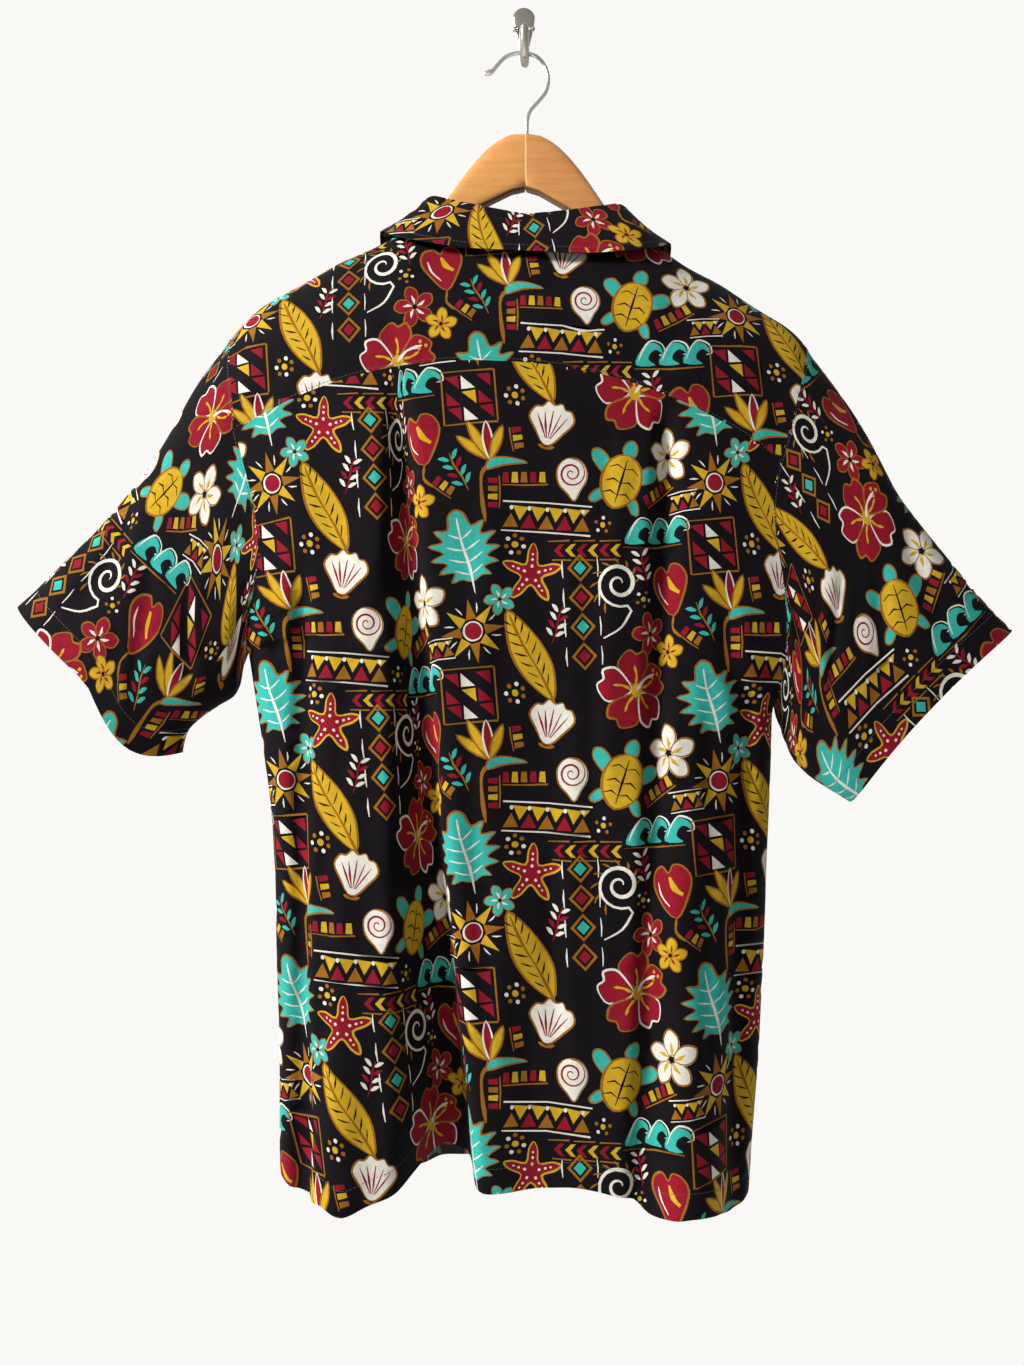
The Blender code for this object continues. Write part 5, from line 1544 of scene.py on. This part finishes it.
def cloth_panels():
    """The panels of the shirt with their cloth coordinates and small creases."""
    back, yoke, fronts = body_panels()
    grids = {
        "back": back, "yoke": yoke, "front_left": fronts[-1], "front_right": fronts[1],
        "sleeve_left": sleeve_grid(-1, back, yoke, fronts[-1]),
        "sleeve_right": sleeve_grid(1, back, yoke, fronts[1]),
        "collar": collar_grid(yoke, fronts),
        "lapel_left": lapel_grid(-1), "lapel_right": lapel_grid(1),
    }
    panels = {name: Panel("shirt_" + name, grid, name in FLIPPED,
                          ring=name.startswith("sleeve"),
                          turned_over=name.startswith(("collar", "lapel")))
              for name, grid in grids.items()}
    share_normals(panels.values())
    for name, p in panels.items():
        x, z = p.grid[:, :, 0], p.grid[:, :, 2]
        run, fall = lengths(p.grid, 1), lengths(p.grid, 0)
        p.down = -z
        if name == "back":
            p.across = back_across(p.grid)
            crease(p, CREASES["back"], x, z)
        elif name == "yoke":
            p.across = x * YOKE_SPREAD + np.arange(x.shape[1]) * 1e-6  # always rising
            p.down = fall - fall[-1:] - z[-1:]
            crease(p, CREASES["yoke"], x, z, strength=0.8)
        elif name.startswith("front"):
            p.across = run - run[:, -1:] + x[:, -1:] * (1 if name == "front_left" else -1)
            crease(p, CREASES["front"], x, z)
        elif name.startswith("sleeve"):
            top = np.argmax(z[0])
            p.across = run - run[:, top:top + 1]
            p.down = fall - fall[-1:]
            crease(p, CREASES["sleeve"], p.across, p.down)
        else:
            p.across = run[-1:] - run[-1:, [run.shape[1] // 2]] + 0 * run
            p.down = fall
    share_normals(panels.values())
    return panels


def cloth(panels):
    """The printed shells of the panels."""
    finishes = [cloth_finish(f"printed_cloth_{k}", ink) for k, ink in enumerate(INKS)]
    finishes += [cloth_finish(f"cloth_reverse_{k}", ink, True) for k, ink in enumerate(INKS)]
    for name, p in panels.items():
        p.settle()
        start, flat, area, carrier = CUTS[name]
        piece = shell(p, start, finishes, 2 if name == "back" else 1)
        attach(piece, "root")
        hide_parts(name)


def sewing(panels, thread):
    """The lines of stitches along the seams, hems and edges."""
    lines = [edge_line(panels["back"], "bottom", ON_HEM),
             edge_line(panels["yoke"], "bottom", ON_SEAM),
             edge_line(panels["yoke"], "top", ON_SEAM, (0.0, 0.31)),
             edge_line(panels["yoke"], "top", ON_SEAM, (0.69, 1.0)),
             edge_line(panels["collar"], "bottom", ON_COLLAR),
             edge_line(panels["collar"], "start", ON_COLLAR, (0.45, 1.0)),
             edge_line(panels["collar"], "end", ON_COLLAR, (0.45, 1.0))]
    for side, inner, outer in (("left", "start", "end"), ("right", "end", "start")):
        lines += [edge_line(panels["front_" + side], "bottom", ON_HEM),
                  edge_line(panels["front_" + side], inner, ON_FRONT),
                  edge_line(panels["sleeve_" + side], "bottom", ON_CUFF),
                  edge_line(panels["sleeve_" + side], "top", ON_SEAM),
                  edge_line(panels["lapel_" + side], outer, ON_FRONT)]
    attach(stitches("stitching", lines, thread), "root")


def hanger():
    """The wooden arms and the wire hook."""
    # The right arm is a darker copy of the beech, painted shade for its side turned from the
    # light. The last number of each is the painted shade on its underside.
    beech = (0.58, 0.270, 0.080), (0.49, 0.215, 0.060), 0.16
    beech_painted_shade = (0.53, 0.235, 0.072), (0.44, 0.183, 0.054), 0.38
    for name, side, tones in (("left", -1, beech), ("right", 1, beech_painted_shade)):
        arm = wood_arm("wood_" + name, side, wood_finish("beech_" + name, 32 * side, *tones))
        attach(arm, "root")
        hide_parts("hanger_body")
    chrome = metal_finish("bright_steel", (0.80, 0.80, 0.80), rough=0.18)
    line = curve([(x, HANG_Y, z) for x, z in WIRE] + [WIRE_SEAT], False, 8)
    swell = np.exp(-((np.arange(len(line)) - BALL_AT) / BALL_LONG) ** 2)
    hook = wire("wire_hook", line, WIRE_RADIUS * (1 + BALL_SWELL * swell), chrome)
    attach(hook, "root")
    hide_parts("hanger_hook")


def wall_hook():
    """The plate, its prong and its screws."""
    nickel = metal_finish("nickel_plate", (0.56, 0.525, 0.46), rough=0.24, wear=0.18)
    plate = hook_plate("hook_plate", nickel)
    route = curve([(PRONG_X, y, z) for y, z, _ in PRONG], False, 8)
    sizes = curve([s for _, _, s in PRONG], False, 8) * PRONG_RADIUS
    prong = wire("hook_prong", route, sizes, nickel, fixed=True)
    for piece in (plate, prong):
        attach(piece, "root")
        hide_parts("wall_hook")
    for k, (x, z, turn) in enumerate(SCREWS):
        head = screw_head(f"screw_head_{k + 1}", x, z, turn, nickel)
        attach(head, "root")
        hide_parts(f"screw_{k + 1}")


def buttons(thread):
    """The buttons down the left front, sewn on."""
    black = plain_finish("button_shell", (0.040, 0.030, 0.030), rough=0.28, coat=0.4, scale=120.0)
    for k in range(BUTTON_COUNT):
        made, cross = button(f"button_face_{k + 1}", BUTTON_TOP - k * BUTTON_STEP, black, thread)
        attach(made, "root")
        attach(cross, "root")
        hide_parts(f"button_{k + 1}")


def main():
    panels = cloth_panels()
    cloth(panels)
    thread = plain_finish("thread", (0.050, 0.041, 0.046), rough=0.6)
    sewing(panels, thread)
    hanger()
    wall_hook()
    buttons(thread)


# ---------------------------------------------------------------- floor, light and camera
EYE = (-0.0102, -0.935, -0.555)
DISTANCE = 0.85
PIXEL = 0.00079  # size of a pixel of the photograph at that distance
PICTURE_HIGH = 1365
FILM = 24  # millimetres
FLOOR, FLOOR_THICK = -1.75, 0.02
FLOOR_CORNERS = ((-1.6, -2.6), (1.6, -2.6), (1.6, 0.3), (-1.6, 0.3))
SKY = (("From Min", -0.6), ("From Max", 0.45), ("To Min", 0.30), ("To Max", 1.0))
LIGHTS = (("key", (-2.2, -1.2, 0.7), (0, -0.05, -0.5), 0.6, 165),
          ("wall_side", (-0.6, 1.9, 0.8), (0, 0, -0.5), 1.6, 25))  # spot, aim, size and watts


def studio():
    """The floor, a soft sky that is brighter towards the wall, two lights and the camera."""
    scene = bpy.context.scene
    pale = plain_finish("pale_floor", (0.74, 0.73, 0.71), rough=0.9, scale=400.0)
    corners = [(x, y, z) for z in (FLOOR, FLOOR - FLOOR_THICK) for x, y in FLOOR_CORNERS]
    walls = [(k, k + 4, (k + 1) % 4 + 4, (k + 1) % 4) for k in range(4)]
    add_mesh("floor", corners, [(0, 1, 2, 3), (7, 6, 5, 4)] + walls, [pale])

    world = bpy.data.worlds.new("studio")
    scene.world = world
    world.use_nodes = True
    tree = world.node_tree
    back = tree.nodes["Background"]
    back.inputs["Color"].default_value = (0.95, 0.94, 0.92, 1)
    where, parts, level = (tree.nodes.new("ShaderNode" + kind)
                           for kind in ("TexCoord", "SeparateXYZ", "MapRange"))
    level.interpolation_type = "SMOOTHSTEP"
    for socket, value in SKY:
        level.inputs[socket].default_value = value
    tree.links.new(where.outputs["Generated"], parts.inputs["Vector"])
    tree.links.new(parts.outputs["Y"], level.inputs["Value"])
    tree.links.new(level.outputs["Result"], back.inputs["Strength"])

    for name, spot, aim, size, power in LIGHTS:
        light = bpy.data.lights.new(name, "AREA")
        light.energy, light.size = power, size
        made = bpy.data.objects.new(name, light)
        made.location = spot
        made.rotation_euler = (Vector(aim) - Vector(spot)).to_track_quat("-Z", "Y").to_euler()
        scene.collection.objects.link(made)

    lens = bpy.data.cameras.new("camera")
    lens.sensor_fit = "VERTICAL"
    lens.sensor_height = FILM
    lens.lens = FILM * DISTANCE / (PICTURE_HIGH * PIXEL)
    camera = bpy.data.objects.new("camera", lens)
    camera.location = EYE
    camera.rotation_euler = (math.pi / 2, 0, 0)
    scene.collection.objects.link(camera)
    scene.camera = camera
    scene.view_settings.view_transform = "Standard"


main()
studio()
